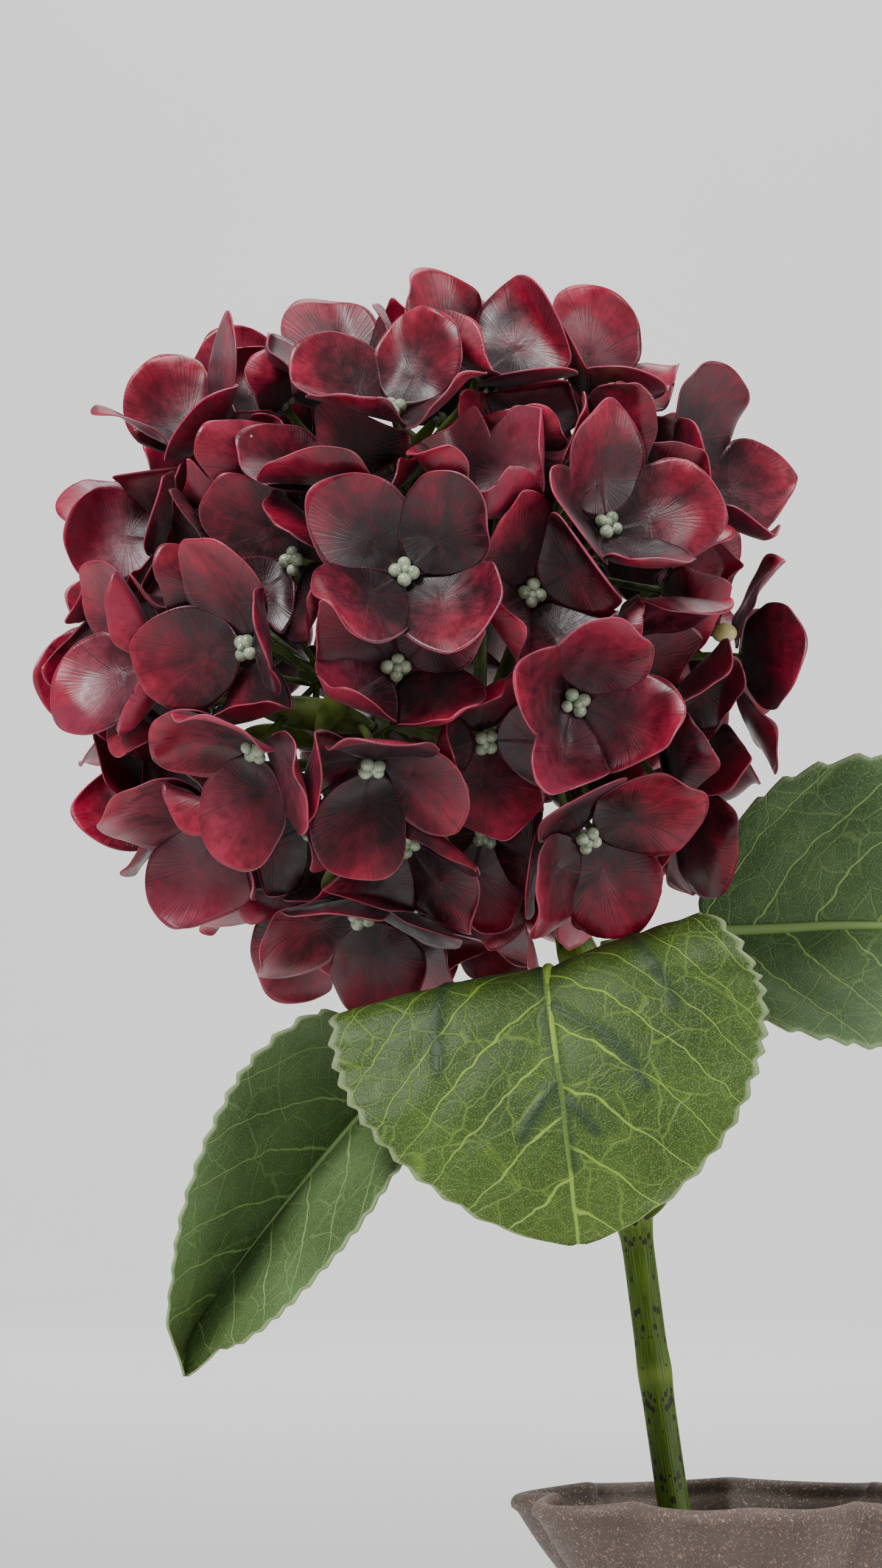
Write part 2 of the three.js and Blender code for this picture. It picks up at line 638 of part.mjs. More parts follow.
function headSolid() {
  const random = randomSource(SEED + 1);
  const florets = placeFlorets();
  const stem = curve(STEM_ROUTE);
  const stemEnd = stem.getPointAt(1);
  const hub = stemEnd.clone().addScaledVector(stem.getTangentAt(1), GAP);
  const hubEnd = stemEnd.clone().addScaledVector(stem.getTangentAt(1), HUB_LENGTH);
  const hubLine = new THREE.LineCurve3(hub, hubEnd);
  const hubRod = rod(hubLine, 1, HUB_SIDES, (share) => STEM_RADIUS - share);
  const solids = [solidFrom(hubRod)];
  const rayEnds = spiralDirections(RAYS)
    .filter((d) => d.angleTo(stemDirection()) > rad(RAY_CLEARANCE))
    .map((d) => HEAD_CENTRE.clone().addScaledVector(d, RAY_REACH));
  const hubMiddle = hub.clone().lerp(hubEnd, 0.5);
  for (const end of rayEnds) {
    const ray = rod(new THREE.LineCurve3(hubMiddle, end), 1, RAY_SIDES, () => RAY_RADIUS);
    solids.push(solidFrom(ray));
  }
  const used = new Map();
  for (const floret of florets) {
    const nearest = rayEnds.reduce((best, end) => (
      end.distanceTo(floret.eye) < best.distanceTo(floret.eye) ? end : best
    ));
    used.set(nearest, (used.get(nearest) ?? 0) + 1);
    const root = nearest.clone().lerp(hubMiddle, ROOT_STEP * used.get(nearest));
    solids.push(floretSolid(floret, root, florets, random));
  }
  return joinSolids(solids);
}

// The object

function material(colour, roughness) {
  return new THREE.MeshStandardMaterial({ color: colour, roughness, metalness: 0 });
}

const object = new THREE.Group();
const stemHole = solidFrom(stemSolid(GAP));
object.add(named('vase', vaseGeometry(), material('#81706b', 0.7)));
object.add(named('water', geometryFromSolid(waterSolid()), material('#dfe6e2', 0.05)));
object.add(named('stem', stemGeometry(), material('#647d2d', 0.55)));
for (const [name, leaf] of Object.entries(LEAVES)) {
  object.add(named(name, leafGeometry(leaf, stemHole), material('#54662e', 0.5)));
}
object.add(named('flower_head', geometryFromSolid(headSolid()), material('#9d1332', 0.55)));

export default object;
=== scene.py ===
import math

import bpy
import numpy as np
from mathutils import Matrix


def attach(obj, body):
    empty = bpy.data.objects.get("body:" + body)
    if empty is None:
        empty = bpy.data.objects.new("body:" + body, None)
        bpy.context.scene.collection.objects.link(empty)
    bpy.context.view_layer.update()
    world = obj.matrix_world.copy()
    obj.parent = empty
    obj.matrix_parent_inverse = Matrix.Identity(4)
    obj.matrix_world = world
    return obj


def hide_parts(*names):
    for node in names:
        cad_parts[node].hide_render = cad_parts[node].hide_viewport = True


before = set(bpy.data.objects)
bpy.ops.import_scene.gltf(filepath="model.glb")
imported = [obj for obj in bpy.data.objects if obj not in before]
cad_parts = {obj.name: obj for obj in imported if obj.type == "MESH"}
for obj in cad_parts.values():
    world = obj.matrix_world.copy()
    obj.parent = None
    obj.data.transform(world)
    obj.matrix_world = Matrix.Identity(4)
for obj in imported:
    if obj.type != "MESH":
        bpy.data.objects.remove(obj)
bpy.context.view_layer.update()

MM = 0.001
GAP = 0.3  # the clearance between neighbouring solids
SEED = 20

# How many points the petals and the leaves have across and along
SEPAL_GRID = 21
LEAF_GRID = (81, 135)


def srgb(text):
    """The linear colour of a #rrggbb colour."""
    channels = [int(text[i:i + 2], 16) / 255 for i in (1, 3, 5)]
    linear = [c / 12.92 if c <= 0.04045 else ((c + 0.055) / 1.055) ** 2.4 for c in channels]
    return (*linear, 1.0)


def unit(vector):
    return vector / np.linalg.norm(vector)


def random_source(seed):
    """The same even draws between 0 and 1 on every run."""
    state = seed
    while True:
        state = (state * 1664525 + 1013904223) % 2 ** 32
        yield state / 2 ** 32


class Route:
    """A smooth centripetal curve through points, measured along its length."""

    SAMPLES = 201
    TANGENT_STEP = 1e-4

    def __init__(self, points):
        self.points = np.array(points, float)
        self.shares = np.linspace(0, 1, self.SAMPLES)
        samples = np.array([self._at(share) for share in self.shares])
        steps = np.linalg.norm(np.diff(samples, axis=0), axis=1)
        self.lengths = np.concatenate([[0], np.cumsum(steps)])
        self.length = self.lengths[-1]

    def _at(self, share):
        points = self.points
        last = len(points) - 1
        place = share * last
        k = min(int(place), last - 1)
        p1, p2 = points[k], points[k + 1]
        p0 = points[k - 1] if k > 0 else 2 * p1 - p2
        p3 = points[k + 2] if k + 2 <= last else 2 * p2 - p1
        d0, d1, d2 = (math.sqrt(np.linalg.norm(b - a)) for a, b in ((p0, p1), (p1, p2), (p2, p3)))
        m1 = ((p1 - p0) / d0 - (p2 - p0) / (d0 + d1) + (p2 - p1) / d1) * d1
        m2 = ((p2 - p1) / d1 - (p3 - p1) / (d1 + d2) + (p3 - p2) / d2) * d1
        t = place - k
        return (p1 + m1 * t + (3 * (p2 - p1) - 2 * m1 - m2) * t ** 2
                + (2 * (p1 - p2) + m1 + m2) * t ** 3)

    def _share(self, share):
        return np.interp(share * self.length, self.lengths, self.shares)

    def point(self, share):
        return self._at(self._share(share))

    def spread(self, count, start=0):
        """Points shared out evenly along the curve."""
        return np.array([self.point(share) for share in np.linspace(start, 1, count)])

    def tangent(self, share):
        middle = self._share(share)
        low = max(middle - self.TANGENT_STEP, 0)
        high = min(middle + self.TANGENT_STEP, 1)
        return unit(self._at(high) - self._at(low))


# Meshes

def add_object(name, data):
    thing = bpy.data.objects.new(name, data)
    bpy.context.scene.collection.objects.link(thing)
    return thing


def add_mesh(name, points, faces, attributes=None):
    """A smooth mesh from millimetre points, with its per-point attributes."""
    mesh = bpy.data.meshes.new(name)
    mesh.from_pydata((np.asarray(points) * MM).tolist(), [], faces)
    for key, values in (attributes or {}).items():
        kind, field = ("FLOAT", "value") if np.ndim(values) == 1 else ("FLOAT_COLOR", "color")
        layer = mesh.attributes.new(key, kind, "POINT")
        layer.data.foreach_set(field, np.asarray(values, np.float32).ravel())
    mesh.shade_smooth()
    return add_object(name, mesh)


def grid_faces(rows, columns, closed=False):
    """Quads between the points of a grid, with its last column joined to its first if closed."""
    faces = []
    for r in range(rows - 1):
        low, high = r * columns, (r + 1) * columns
        for c in range(columns if closed else columns - 1):
            d = (c + 1) % columns
            faces.append((low + c, low + d, high + d, high + c))
    return faces


def sheet_normals(grid):
    along = np.gradient(grid, axis=0)
    across = np.gradient(grid, axis=1)
    normals = np.cross(across, along)
    return normals / np.maximum(np.linalg.norm(normals, axis=2, keepdims=True), 1e-9)


def thick_sheet(grid, thickness):
    """A grid of points (rows, columns, 3) as a closed sheet: its points and its faces."""
    rows, columns = grid.shape[:2]
    half = sheet_normals(grid) * (thickness / 2)
    points = np.concatenate([(grid + half).reshape(-1, 3), (grid - half).reshape(-1, 3)])
    count = rows * columns
    top = grid_faces(rows, columns)
    faces = top + [tuple(i + count for i in reversed(face)) for face in top]
    rim = ([(0, c) for c in range(columns)] + [(r, columns - 1) for r in range(1, rows)]
           + [(rows - 1, c) for c in range(columns - 2, -1, -1)]
           + [(r, 0) for r in range(rows - 2, 0, -1)])
    loop = [r * columns + c for r, c in rim]
    for a, b in zip(loop, loop[1:] + loop[:1]):
        faces.append((b, a, a + count, b + count))
    return points, faces


def rings_mesh(rings):
    """Rings of points (rows, columns, 3) as a closed solid with a centre point at both ends."""
    rings = np.asarray(rings)
    rows, columns = rings.shape[:2]
    points = np.concatenate([rings.reshape(-1, 3), rings[:1].mean(1), rings[-1:].mean(1)])
    faces = grid_faces(rows, columns, closed=True)
    first, last = rows * columns, rows * columns + 1
    top = (rows - 1) * columns
    for c in range(columns):
        d = (c + 1) % columns
        faces.append((first, d, c))
        faces.append((last, top + c, top + d))
    return points, faces


def tube_rings(route, rows, sides, radius_at):
    """Rings along a route; radius_at(share, turns) gives the radius at each angle."""
    side = np.array([0.0, 1.0, 0.0])
    turns = 2 * np.pi * np.arange(sides) / sides
    rings = []
    for share in np.linspace(0, 1, rows):
        along = route.tangent(share)
        side = unit(side - along * side.dot(along))
        other = np.cross(along, side)
        radius = radius_at(share, turns)[:, None] * np.ones((sides, 1))
        rings.append(route.point(share) + radius * (
            np.cos(turns)[:, None] * side + np.sin(turns)[:, None] * other))
    return np.array(rings)


class Bundle:
    """Collects closed meshes and their attributes, to make one piece of them."""

    def __init__(self):
        self.points = []
        self.faces = []
        self.attributes = {}
        self.count = 0

    def add(self, points, faces, **attributes):
        self.points.append(points)
        self.faces += [tuple(i + self.count for i in face) for face in faces]
        for key, values in attributes.items():
            values = np.broadcast_to(values, (len(points), *np.shape(values)[1:]))
            self.attributes.setdefault(key, []).append(values)
        self.count += len(points)

    def piece(self, name):
        attributes = {key: np.concatenate(parts) for key, parts in self.attributes.items()}
        return add_mesh(name, np.concatenate(self.points), self.faces, attributes)


def finish_piece(piece, material, replaced=None):
    piece.data.materials.append(material)
    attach(piece, "root")
    if replaced:
        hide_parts(replaced)


# Materials

class Paint:
    """A material whose node tree is built up by small calls; each returns a socket."""

    def __init__(self, name, **settings):
        self.material = bpy.data.materials.new(name)
        self.material.use_nodes = True
        self.tree = self.material.node_tree
        self.shader = self.tree.nodes["Principled BSDF"]
        for key, value in settings.items():
            self.set(key.replace("_", " "), value)

    def node(self, kind, inputs=None, **settings):
        node = self.tree.nodes.new(kind)
        for key, value in settings.items():
            setattr(node, key, value)
        for key, value in (inputs or {}).items():
            self.feed(node.inputs[key], value)
        return node

    def feed(self, socket, value):
        if isinstance(value, bpy.types.NodeSocket):
            self.tree.links.new(value, socket)
        else:
            socket.default_value = srgb(value) if isinstance(value, str) else value

    def set(self, key, value):
        self.feed(self.shader.inputs[key], value)

    def math(self, operation, a, b=0.0):
        return self.node("ShaderNodeMath", {0: a, 1: b}, operation=operation).outputs[0]

    def times(self, a, b):
        return self.math("MULTIPLY", a, b)

    def plus(self, a, b):
        return self.math("ADD", a, b)

    def span(self, value, low=0.3, high=0.7, to_low=0.0, to_high=1.0, smooth=True):
        kind = "SMOOTHSTEP" if smooth else "LINEAR"
        names = ("Value", "From Min", "From Max", "To Min", "To Max")
        inputs = dict(zip(names, (value, low, high, to_low, to_high)))
        return self.node("ShaderNodeMapRange", inputs, interpolation_type=kind).outputs[0]

    def mix(self, share, a, b):
        node = self.node("ShaderNodeMix", data_type="RGBA")
        for index, value in ((0, share), (6, a), (7, b)):
            self.feed(node.inputs[index], value)
        return node.outputs[2]

    def layers(self, colour, *layers):
        """Lays each layer, a share and a colour, over those before it."""
        for share, over in layers:
            colour = self.mix(share, colour, over)
        return colour

    def attribute(self, name, output="Fac"):
        return self.node("ShaderNodeAttribute", attribute_name=name).outputs[output]

    def channels(self, name):
        """The red, green and blue of a colour attribute, which hold three measures."""
        colour = self.attribute(name, "Color")
        return self.node("ShaderNodeSeparateColor", {0: colour}).outputs

    def place(self):
        return self.node("ShaderNodeTexCoord").outputs["Object"]

    def vector(self, x, y, z=0.0):
        return self.node("ShaderNodeCombineXYZ", {"X": x, "Y": y, "Z": z}).outputs[0]

    def noise(self, scale, detail=2.0, vector=None, distortion=0.0, roughness=0.5):
        inputs = {"Vector": vector or self.place(), "Scale": scale, "Detail": detail,
                  "Distortion": distortion, "Roughness": roughness}
        return self.node("ShaderNodeTexNoise", inputs).outputs["Fac"]

    def cells(self, scale, vector, feature="F1"):
        inputs = {"Vector": vector, "Scale": scale}
        return self.node("ShaderNodeTexVoronoi", inputs, feature=feature).outputs["Distance"]

    def bump(self, height, strength, distance):
        inputs = {"Height": height, "Strength": strength, "Distance": distance * MM}
        self.set("Normal", self.node("ShaderNodeBump", inputs).outputs[0])


# The photo's view, in the frame of 1449 by 2576 pixels

CAMERA_PLACE = (-73.6, -1590, 291.7)
CAMERA_PITCH = 2.17  # degrees
FOCAL_PIXELS = 10490
PHOTO_WIDTH = 1449
PHOTO_HEIGHT = 2576
SENSOR = 36


def view_axes():
    pitch = math.radians(CAMERA_PITCH)
    return (np.array([0, math.cos(pitch), math.sin(pitch)]),
            np.array([0, -math.sin(pitch), math.cos(pitch)]))


def photo_pixels(points):
    """Where points are seen in the photo, in pixels from its upper left corner."""
    forward, up = view_axes()
    away = points - np.array(CAMERA_PLACE)
    scale = FOCAL_PIXELS / (away @ forward)
    return np.stack([PHOTO_WIDTH / 2 + away[:, 0] * scale,
                     PHOTO_HEIGHT / 2 - (away @ up) * scale], 1)


def on_ball(pixel, centre, radius):
    """The nearer point where the ray through a photo pixel meets a ball."""
    forward, up = view_axes()
    ray = unit(forward * FOCAL_PIXELS + up * (PHOTO_HEIGHT / 2 - pixel[1])
               + np.array([pixel[0] - PHOTO_WIDTH / 2, 0, 0]))
    to_centre = centre - np.array(CAMERA_PLACE)
    along = ray.dot(to_centre)
    miss = np.linalg.norm(to_centre - ray * along)
    return np.array(CAMERA_PLACE) + ray * (along - math.sqrt(max(radius ** 2 - miss ** 2, 0)))


# Vase and water

VASE_WALL = 5
VASE_FLOOR = 6
FLOOR_RADIUS = 40
VASE_OUTLINE = [  # height, outer radius, depth of the valleys and their rise
    (0, 41, 0, 0), (3, 44, 0, 0), (22, 50, 1, 0), (50, 52, 2, 0), (76, 48, 3, 0),
    (98, 37, 3.2, 0), (122, 27, 3, 0), (137, 31.5, 4.5, 0.3), (152, 42, 7, 0.9),
    (163, 50.5, 9, 1.4), (170.5, 55.5, 10, 1.8),
]
LIP_CENTRE = (54.8, 172.6)  # radius and height of the rounded lip's middle
LIP_ROUND = 2.5
LIP_TURNS = (-20, 200)  # the angles at which its rounding begins and ends
LOBE_EDGES = [-36, 36, 82, 129, 180, 232, 280, 324]
LOBE_FULLNESS = 0.4  # below 1 the lobes are full and the valleys between them narrow
VALLEY_SOFTNESS = 0.012
FRONT_DENT = 0.5
FRONT_DENT_TURN = 2
FRONT_DENT_WIDTH = 11
WATER_LEVEL = 97
VASE_SIDES = 288
OUTER_RINGS = 64
LIP_RINGS = 12
INNER_RINGS = 56
WATER_RINGS = 60
INSIDE_START = 2  # the outline's row where the inside begins
MENISCUS = [(0.985, -0.25), (0.96, -0.55), (0.9, -0.75), (0.5, -0.8)]  # shares and drops


def valley_shares():
    """How deep in a valley the wall is, 0 to 1, at each angle of the fine vase."""
    turns = np.linspace(LOBE_EDGES[0], LOBE_EDGES[0] + 360, VASE_SIDES, endpoint=False)
    swell = np.zeros(VASE_SIDES)
    for low, high in zip(LOBE_EDGES, LOBE_EDGES[1:]):
        inside = (turns >= low) & (turns < high)
        share = (turns[inside] - low) / (high - low)
        swell[inside] = (np.sin(np.pi * share) ** 2 + VALLEY_SOFTNESS) ** LOBE_FULLNESS
    swell -= FRONT_DENT * np.exp(-((turns - FRONT_DENT_TURN) / FRONT_DENT_WIDTH) ** 2)
    return np.radians(turns), 1 - swell


def lobed_ring(height, radius, depth=0, rise=0):
    turns, valley = valley_shares()
    reach = radius - depth * valley
    return np.stack([reach * np.sin(turns), -reach * np.cos(turns),
                     height + rise * valley], 1)


def smooth_outline(rows, first=0):
    return Route(VASE_OUTLINE[first:]).spread(rows)


def vase_paint():
    paint = Paint("vase_ceramic", Specular_IOR_Level=0.42)
    cloud = paint.noise(22, 3)
    grain = paint.noise(900, 3, roughness=0.7)
    speck = paint.noise(1300, 1, distortion=1.5)
    colour = paint.mix(paint.span(cloud, 0.35, 0.65), "#54473f", "#62534c")
    paint.set("Base Color", paint.layers(
        colour, (paint.span(speck, 0.6, 0.68, 0, 0.75), "#b3957d"),
        (paint.span(grain, 0.3, 0.5, 0.35, 0), "#4d413c")))
    paint.set("Roughness", paint.span(grain, 0.3, 0.7, 0.72, 0.52))
    paint.bump(paint.plus(grain, paint.times(cloud, 1.5)), 0.35, 0.35)
    return paint.material


def make_vase():
    outer = [lobed_ring(*row) for row in smooth_outline(OUTER_RINGS)]
    valley, rise = VASE_OUTLINE[-1][2:]
    lip = []
    for turn in np.radians(np.linspace(*LIP_TURNS, LIP_RINGS)):
        lip.append(lobed_ring(LIP_CENTRE[1] + LIP_ROUND * math.sin(turn),
                              LIP_CENTRE[0] + LIP_ROUND * math.cos(turn), valley, rise))
    inner = [lobed_ring(height, radius - VASE_WALL, depth, rise)
             for height, radius, depth, rise in reversed(smooth_outline(INNER_RINGS, INSIDE_START))]
    floor = [lobed_ring(VASE_FLOOR, radius) for radius in (FLOOR_RADIUS, FLOOR_RADIUS / 2)]
    points, faces = rings_mesh(outer + lip + inner + floor)
    return add_mesh("vase_shell", points, faces)


def water_paint():
    paint = Paint("clear_water", Roughness=0.02, IOR=1.333, Transmission_Weight=1.0,
                  Base_Color="#eef3ee")
    paint.bump(paint.noise(60, 1), 0.05, 0.3)
    return paint.material


def make_water():
    rings = [lobed_ring(height, radius - VASE_WALL - GAP, depth)
             for height, radius, depth, _ in smooth_outline(WATER_RINGS, INSIDE_START)
             if height < WATER_LEVEL]
    wall = rings[-1]
    middle = wall.mean(0)
    bottom = lobed_ring(VASE_FLOOR + GAP, FLOOR_RADIUS - 2 * GAP)
    top = [middle + (wall - middle) * share + [0, 0, drop] for share, drop in MENISCUS]
    points, faces = rings_mesh([bottom, *rings, *top])
    return add_mesh("water_body", points, faces)


# Stem

STEM_RADIUS = 4.2
STEM_ROUTE = [
    (10, -6, VASE_FLOOR + GAP), (0.9, 5, 65), (-7.9, 15.8, 123), (-14.8, 25.5, 170),
    (-19.5, 31.5, 204), (-24.9, 33.5, 244.7), (-30.5, 33, 278), (-38.7, 32, 309.5),
    (-48.5, 30.5, 336), (-61.9, 28, 358.8),
]
NODES = [(204, 0.3), (244.7, 1), (309.5, 1.2)]
NODE_LENGTH = 5
NODE_BAND = 2.6  # how long the pale band is under each node
SCARS = [(244.7, 2.3, 1.2), (204, 4.4, 0.2), (309.5, 0.4, 0.8)]  # height, turn and size
SCAR_WIDTH = 0.7
SCAR_LENGTH = 4
FLUTES = 6
FLUTE_DEPTH = 0.03
FLUTE_PHASE = 0.4
SKIN_DROP = 0.05
STEM_ROWS = 260
STEM_SIDES = 36
BUD_FOOT = np.array([-22.5, 32, 244])
BUD_TIP = np.array([-15.5, 29.5, 252])
BUD_BOW = np.array([0.6, 0, -0.3])
BUD_RADIUS = 2.3
BUD_START = -0.35  # where the bud's oval is cut off at its foot, from -1 to 1
BUD_ROWS = 14
BUD_SIDES = 16


def stem_paint():
    paint = Paint("stem_green", Specular_IOR_Level=0.22)
    node = paint.attribute("node")
    turn = paint.attribute("turn")
    height = paint.attribute("height")
    skin = paint.vector(paint.times(turn, 4), paint.times(height, 0.55))
    streak = paint.noise(1.6, 3, paint.vector(paint.times(turn, 9), paint.times(height, 0.05)))
    cloud = paint.noise(26, 2)
    where = paint.noise(0.13, 2, skin)
    size = paint.span(where, 0.42, 0.62, 0, 0.42)
    spots = paint.math("LESS_THAN", paint.cells(0.75, skin), size)
    fine = paint.math("LESS_THAN", paint.cells(2.1, skin), paint.span(where, 0.4, 0.62, 0, 0.3))
    colour = paint.mix(paint.span(streak), "#34480a", "#5c7a12")
    paint.set("Base Color", paint.layers(
        colour, (paint.span(cloud, 0.45, 0.75, 0, 0.6), "#47601d"),
        (paint.times(node, 0.4), "#8fa645"), (paint.times(fine, 0.6), "#3a3a1a"),
        (paint.times(spots, 0.92), "#241d12")))
    paint.set("Roughness", paint.span(streak, 0.3, 0.7, 0.32, 0.5))
    paint.bump(paint.plus(streak, paint.times(spots, 0.5)), 0.4, 0.25)
    return paint.material


def make_stem():
    route = Route(STEM_ROUTE)

    def radius_at(share, turns):
        height = route.point(share)[2]
        radius = STEM_RADIUS * (1 + FLUTE_DEPTH * np.cos(FLUTES * turns + FLUTE_PHASE))
        for level, swelling in NODES:
            radius = radius + swelling * math.exp(-((height - level) / NODE_LENGTH) ** 2)
        for level, turn, size in SCARS:
            away = np.angle(np.exp(1j * (turns - turn))) / SCAR_WIDTH
            up = (height - level - 1) / SCAR_LENGTH
            radius = radius + size * np.exp(-away ** 2 - up ** 2)
        return np.maximum(radius - SKIN_DROP, 1)

    rings = tube_rings(route, STEM_ROWS, STEM_SIDES, radius_at)
    rings[0, :, 2] = STEM_ROUTE[0][2]
    heights = np.repeat(route.spread(STEM_ROWS)[:, 2], STEM_SIDES)
    nodes = sum(np.exp(-((heights - level + 1) / NODE_BAND) ** 2) for level, _ in NODES)
    turns = np.tile(2 * np.pi * np.arange(STEM_SIDES) / STEM_SIDES, STEM_ROWS)
    bundle = Bundle()
    ends = [0, 0]  # for the centre points that close the tube
    bundle.add(*rings_mesh(rings), node=np.append(nodes, ends), height=np.append(heights, ends),
               turn=np.append(np.abs(turns - np.pi), ends))
    bud = Route([BUD_FOOT, (BUD_FOOT + BUD_TIP) / 2 + BUD_BOW, BUD_TIP])
    scale = np.sqrt(np.maximum(1 - np.linspace(BUD_START, 1, BUD_ROWS) ** 2, 0.004))
    rings = tube_rings(bud, BUD_ROWS, BUD_SIDES, lambda share, turns: (
        BUD_RADIUS * scale[int(round(share * (BUD_ROWS - 1)))] * (1 + 0.06 * np.cos(3 * turns))))
    points, faces = rings_mesh(rings)
    bundle.add(points, faces, node=np.full(len(points), 0.3), height=points[:, 2],
               turn=np.full(len(points), 1.1))
    return bundle.piece("stem_skin")


# Leaves

LEAF_THICKNESS = 0.6
LEAF_TEETH = 17
TEETH_START = 0.015  # where they begin on the midrib, and how much of it they take
TEETH_SHARE = 0.97
TOOTH_DEPTH = 1.9
TOOTH_PEAK = 0.72  # how far along a tooth its point is
LEAF_FULLNESS = 2.105  # brings the widest place to the half width
FOOT_ROUNDNESS = 0.45
TIP_ROUNDNESS = 0.65
LEAF_ENDS = (0.004, 0.998)  # shares of the midrib where the blade begins and ends
QUILT_DEPTH = 0.45  # how far the blade rises between its side veins
EDGE_WAVE = 0.9
CROWN_HEIGHT = 0.7
CROWN_WIDTH = 3.0
STALK_RADIUS = 1.9
STALK_TAPER = 0.85
STALK_ROWS = 60
STALK_SIDES = 16
STALK_START = 6  # how much of the stalk's route lies within the stem
STALK_UNDER = (0.1, 0.25, 0.45, 0.7)  # shares of the midrib that the stalk runs on under
STALK_PLACE = (0.0, 20.0, 0.1, 1.0)  # the place on the blade whose colour the stalk takes
LATERAL_SPACING = 15.5
LATERAL_SLOPE = 0.62
LATERAL_BEND = 0.0075
RIDGE_HEIGHT = 0.8
RIDGE_PIXELS = 9
RIDGE_SAMPLES = 50
LEAVES = {
    "leaf_front": dict(
        stalk=[(-38.7, 31, 309.5), (-40.5, 22, 305.5), (-43, 10, 301)],
        midrib=[(-43.5, -4, 300.5), (-47, -19, 306), (-48, -31, 302.5), (-46, -40.5, 286),
                (-43.5, -46, 267), (-40.5, -48, 239)],
        across=[(0.97, 0.16, 0.22), (0.99, 0.03, 0.12)],
        half_width=52.5, fold=[(4, 3), (11, 7)], droop=10, phase=0.3,
        ridges=[[(875, 1517), (905, 1700), (942, 1915)], [(795, 1530), (722, 1650), (720, 1765)],
                [(908, 1785), (880, 1830), (856, 1870)], [(1030, 1530), (1078, 1590), (1110, 1650)],
                [(913, 1656), (1018, 1718), (1061, 1785)], [(937, 1814), (962, 1838), (980, 1857)]],
    ),
    "leaf_left": dict(
        stalk=[(-39.5, 31.5, 308), (-50, 28, 299), (-66, 19, 289.5)],
        midrib=[(-83, 11, 280.5), (-94, 4, 269), (-106, 0, 255), (-119, -3, 239),
                (-130, -5, 224), (-136.5, -7, 213), (-137, -9, 205)],
        across=[(0.6, 0.1, -0.8), (0.8, 0.05, -0.6)],
        half_width=41, fold=[(25, 70), (78, 62)], droop=2, phase=0.7,
    ),
    "leaf_right": dict(
        stalk=[(-37.5, 32.5, 309.5), (-30, 36, 312), (-20, 38.5, 314)],
        midrib=[(-8, 40, 315.5), (8, 38, 316), (38, 33, 317), (70, 26, 313), (100, 20, 300),
                (125, 16, 280)],
        across=[(0.05, 0.15, 0.99), (0.28, 0.1, 0.95)],
        half_width=45, fold=[(40, 40), (15, 15)], droop=4, phase=0.1,
    ),
}


def leaf_width(share):
    return LEAF_FULLNESS * share ** FOOT_ROUNDNESS * (1 - share) ** TIP_ROUNDNESS


def tooth_height(share):
    """The margin's saw teeth, 0 to 1, each leaning towards the tip."""
    phase = ((share - TEETH_START) / TEETH_SHARE * LEAF_TEETH) % 1
    return phase / TOOTH_PEAK if phase < TOOTH_PEAK else (1 - phase) / (1 - TOOTH_PEAK)


def lateral_phase(across, along):
    """Counts the side veins that a point of the blade lies past, in its own millimetres."""
    out = abs(across)
    start = along - LATERAL_SLOPE * out - LATERAL_BEND * out ** 2
    return start / LATERAL_SPACING + (0.5 if across < 0 else 0)


def leaf_grid(leaf):
    """The blade's grid of points, and for each its place across and along it."""
    route = Route(leaf["midrib"])
    columns, rows = LEAF_GRID
    level0, level1 = (np.array(v, float) for v in leaf["across"])
    reaches = np.linspace(-1, 1, columns)
    grid = np.zeros((rows, columns, 3))
    flat = np.zeros((rows, columns, 3))
    for r, share in enumerate(np.linspace(*LEAF_ENDS, rows)):
        along = route.tangent(share)
        level = level0 + share * (level1 - level0)
        level = unit(level - along * level.dot(along))
        up = np.cross(along, level)
        tooth = TOOTH_DEPTH * tooth_height(share) * min(1, 8 * share, 12 * (1 - share))
        width = leaf["half_width"] * leaf_width(share)
        centre = route.point(share)
        for c, reach in enumerate(reaches):
            low, high = leaf["fold"][0 if reach < 0 else 1]
            lift = math.radians(low + (high - low) * share)
            out = abs(reach) * width + tooth * abs(reach) ** 12
            sag = leaf["droop"] * (abs(reach) * leaf_width(share)) ** 2
            across = math.copysign(out, reach)
            phase = lateral_phase(across, share * route.length) + leaf["phase"]
            quilt = QUILT_DEPTH * math.cos(2 * math.pi * phase) * abs(reach) * (1 - reach ** 4)
            turn = 23 * share + 3 * reach + 9 * leaf["phase"]
            wave = EDGE_WAVE * abs(reach) ** 4 * math.sin(turn)
            crown = CROWN_HEIGHT * math.exp(-(out / CROWN_WIDTH) ** 2) * (1 - share)
            grid[r, c] = (centre + level * across * math.cos(lift)
                          + up * (out * math.sin(lift) - sag - quilt + wave - crown))
            flat[r, c] = (across, share * route.length, abs(reach))
    return grid, flat


def ridge_heights(grid, lines):
    """How high each point stands on the pressed ridges, 0 to 1; the lines are photo pixels."""
    seen = photo_pixels(grid.reshape(-1, 3))
    height = np.zeros(len(seen))
    for line in lines:
        spine = Route([(*point, 0) for point in line]).spread(RIDGE_SAMPLES)[:, :2]
        away = np.linalg.norm(seen[:, None] - spine[None], axis=2).min(1) / RIDGE_PIXELS
        height = np.maximum(height, np.exp(-away ** 2))
    return height.reshape(grid.shape[:2])


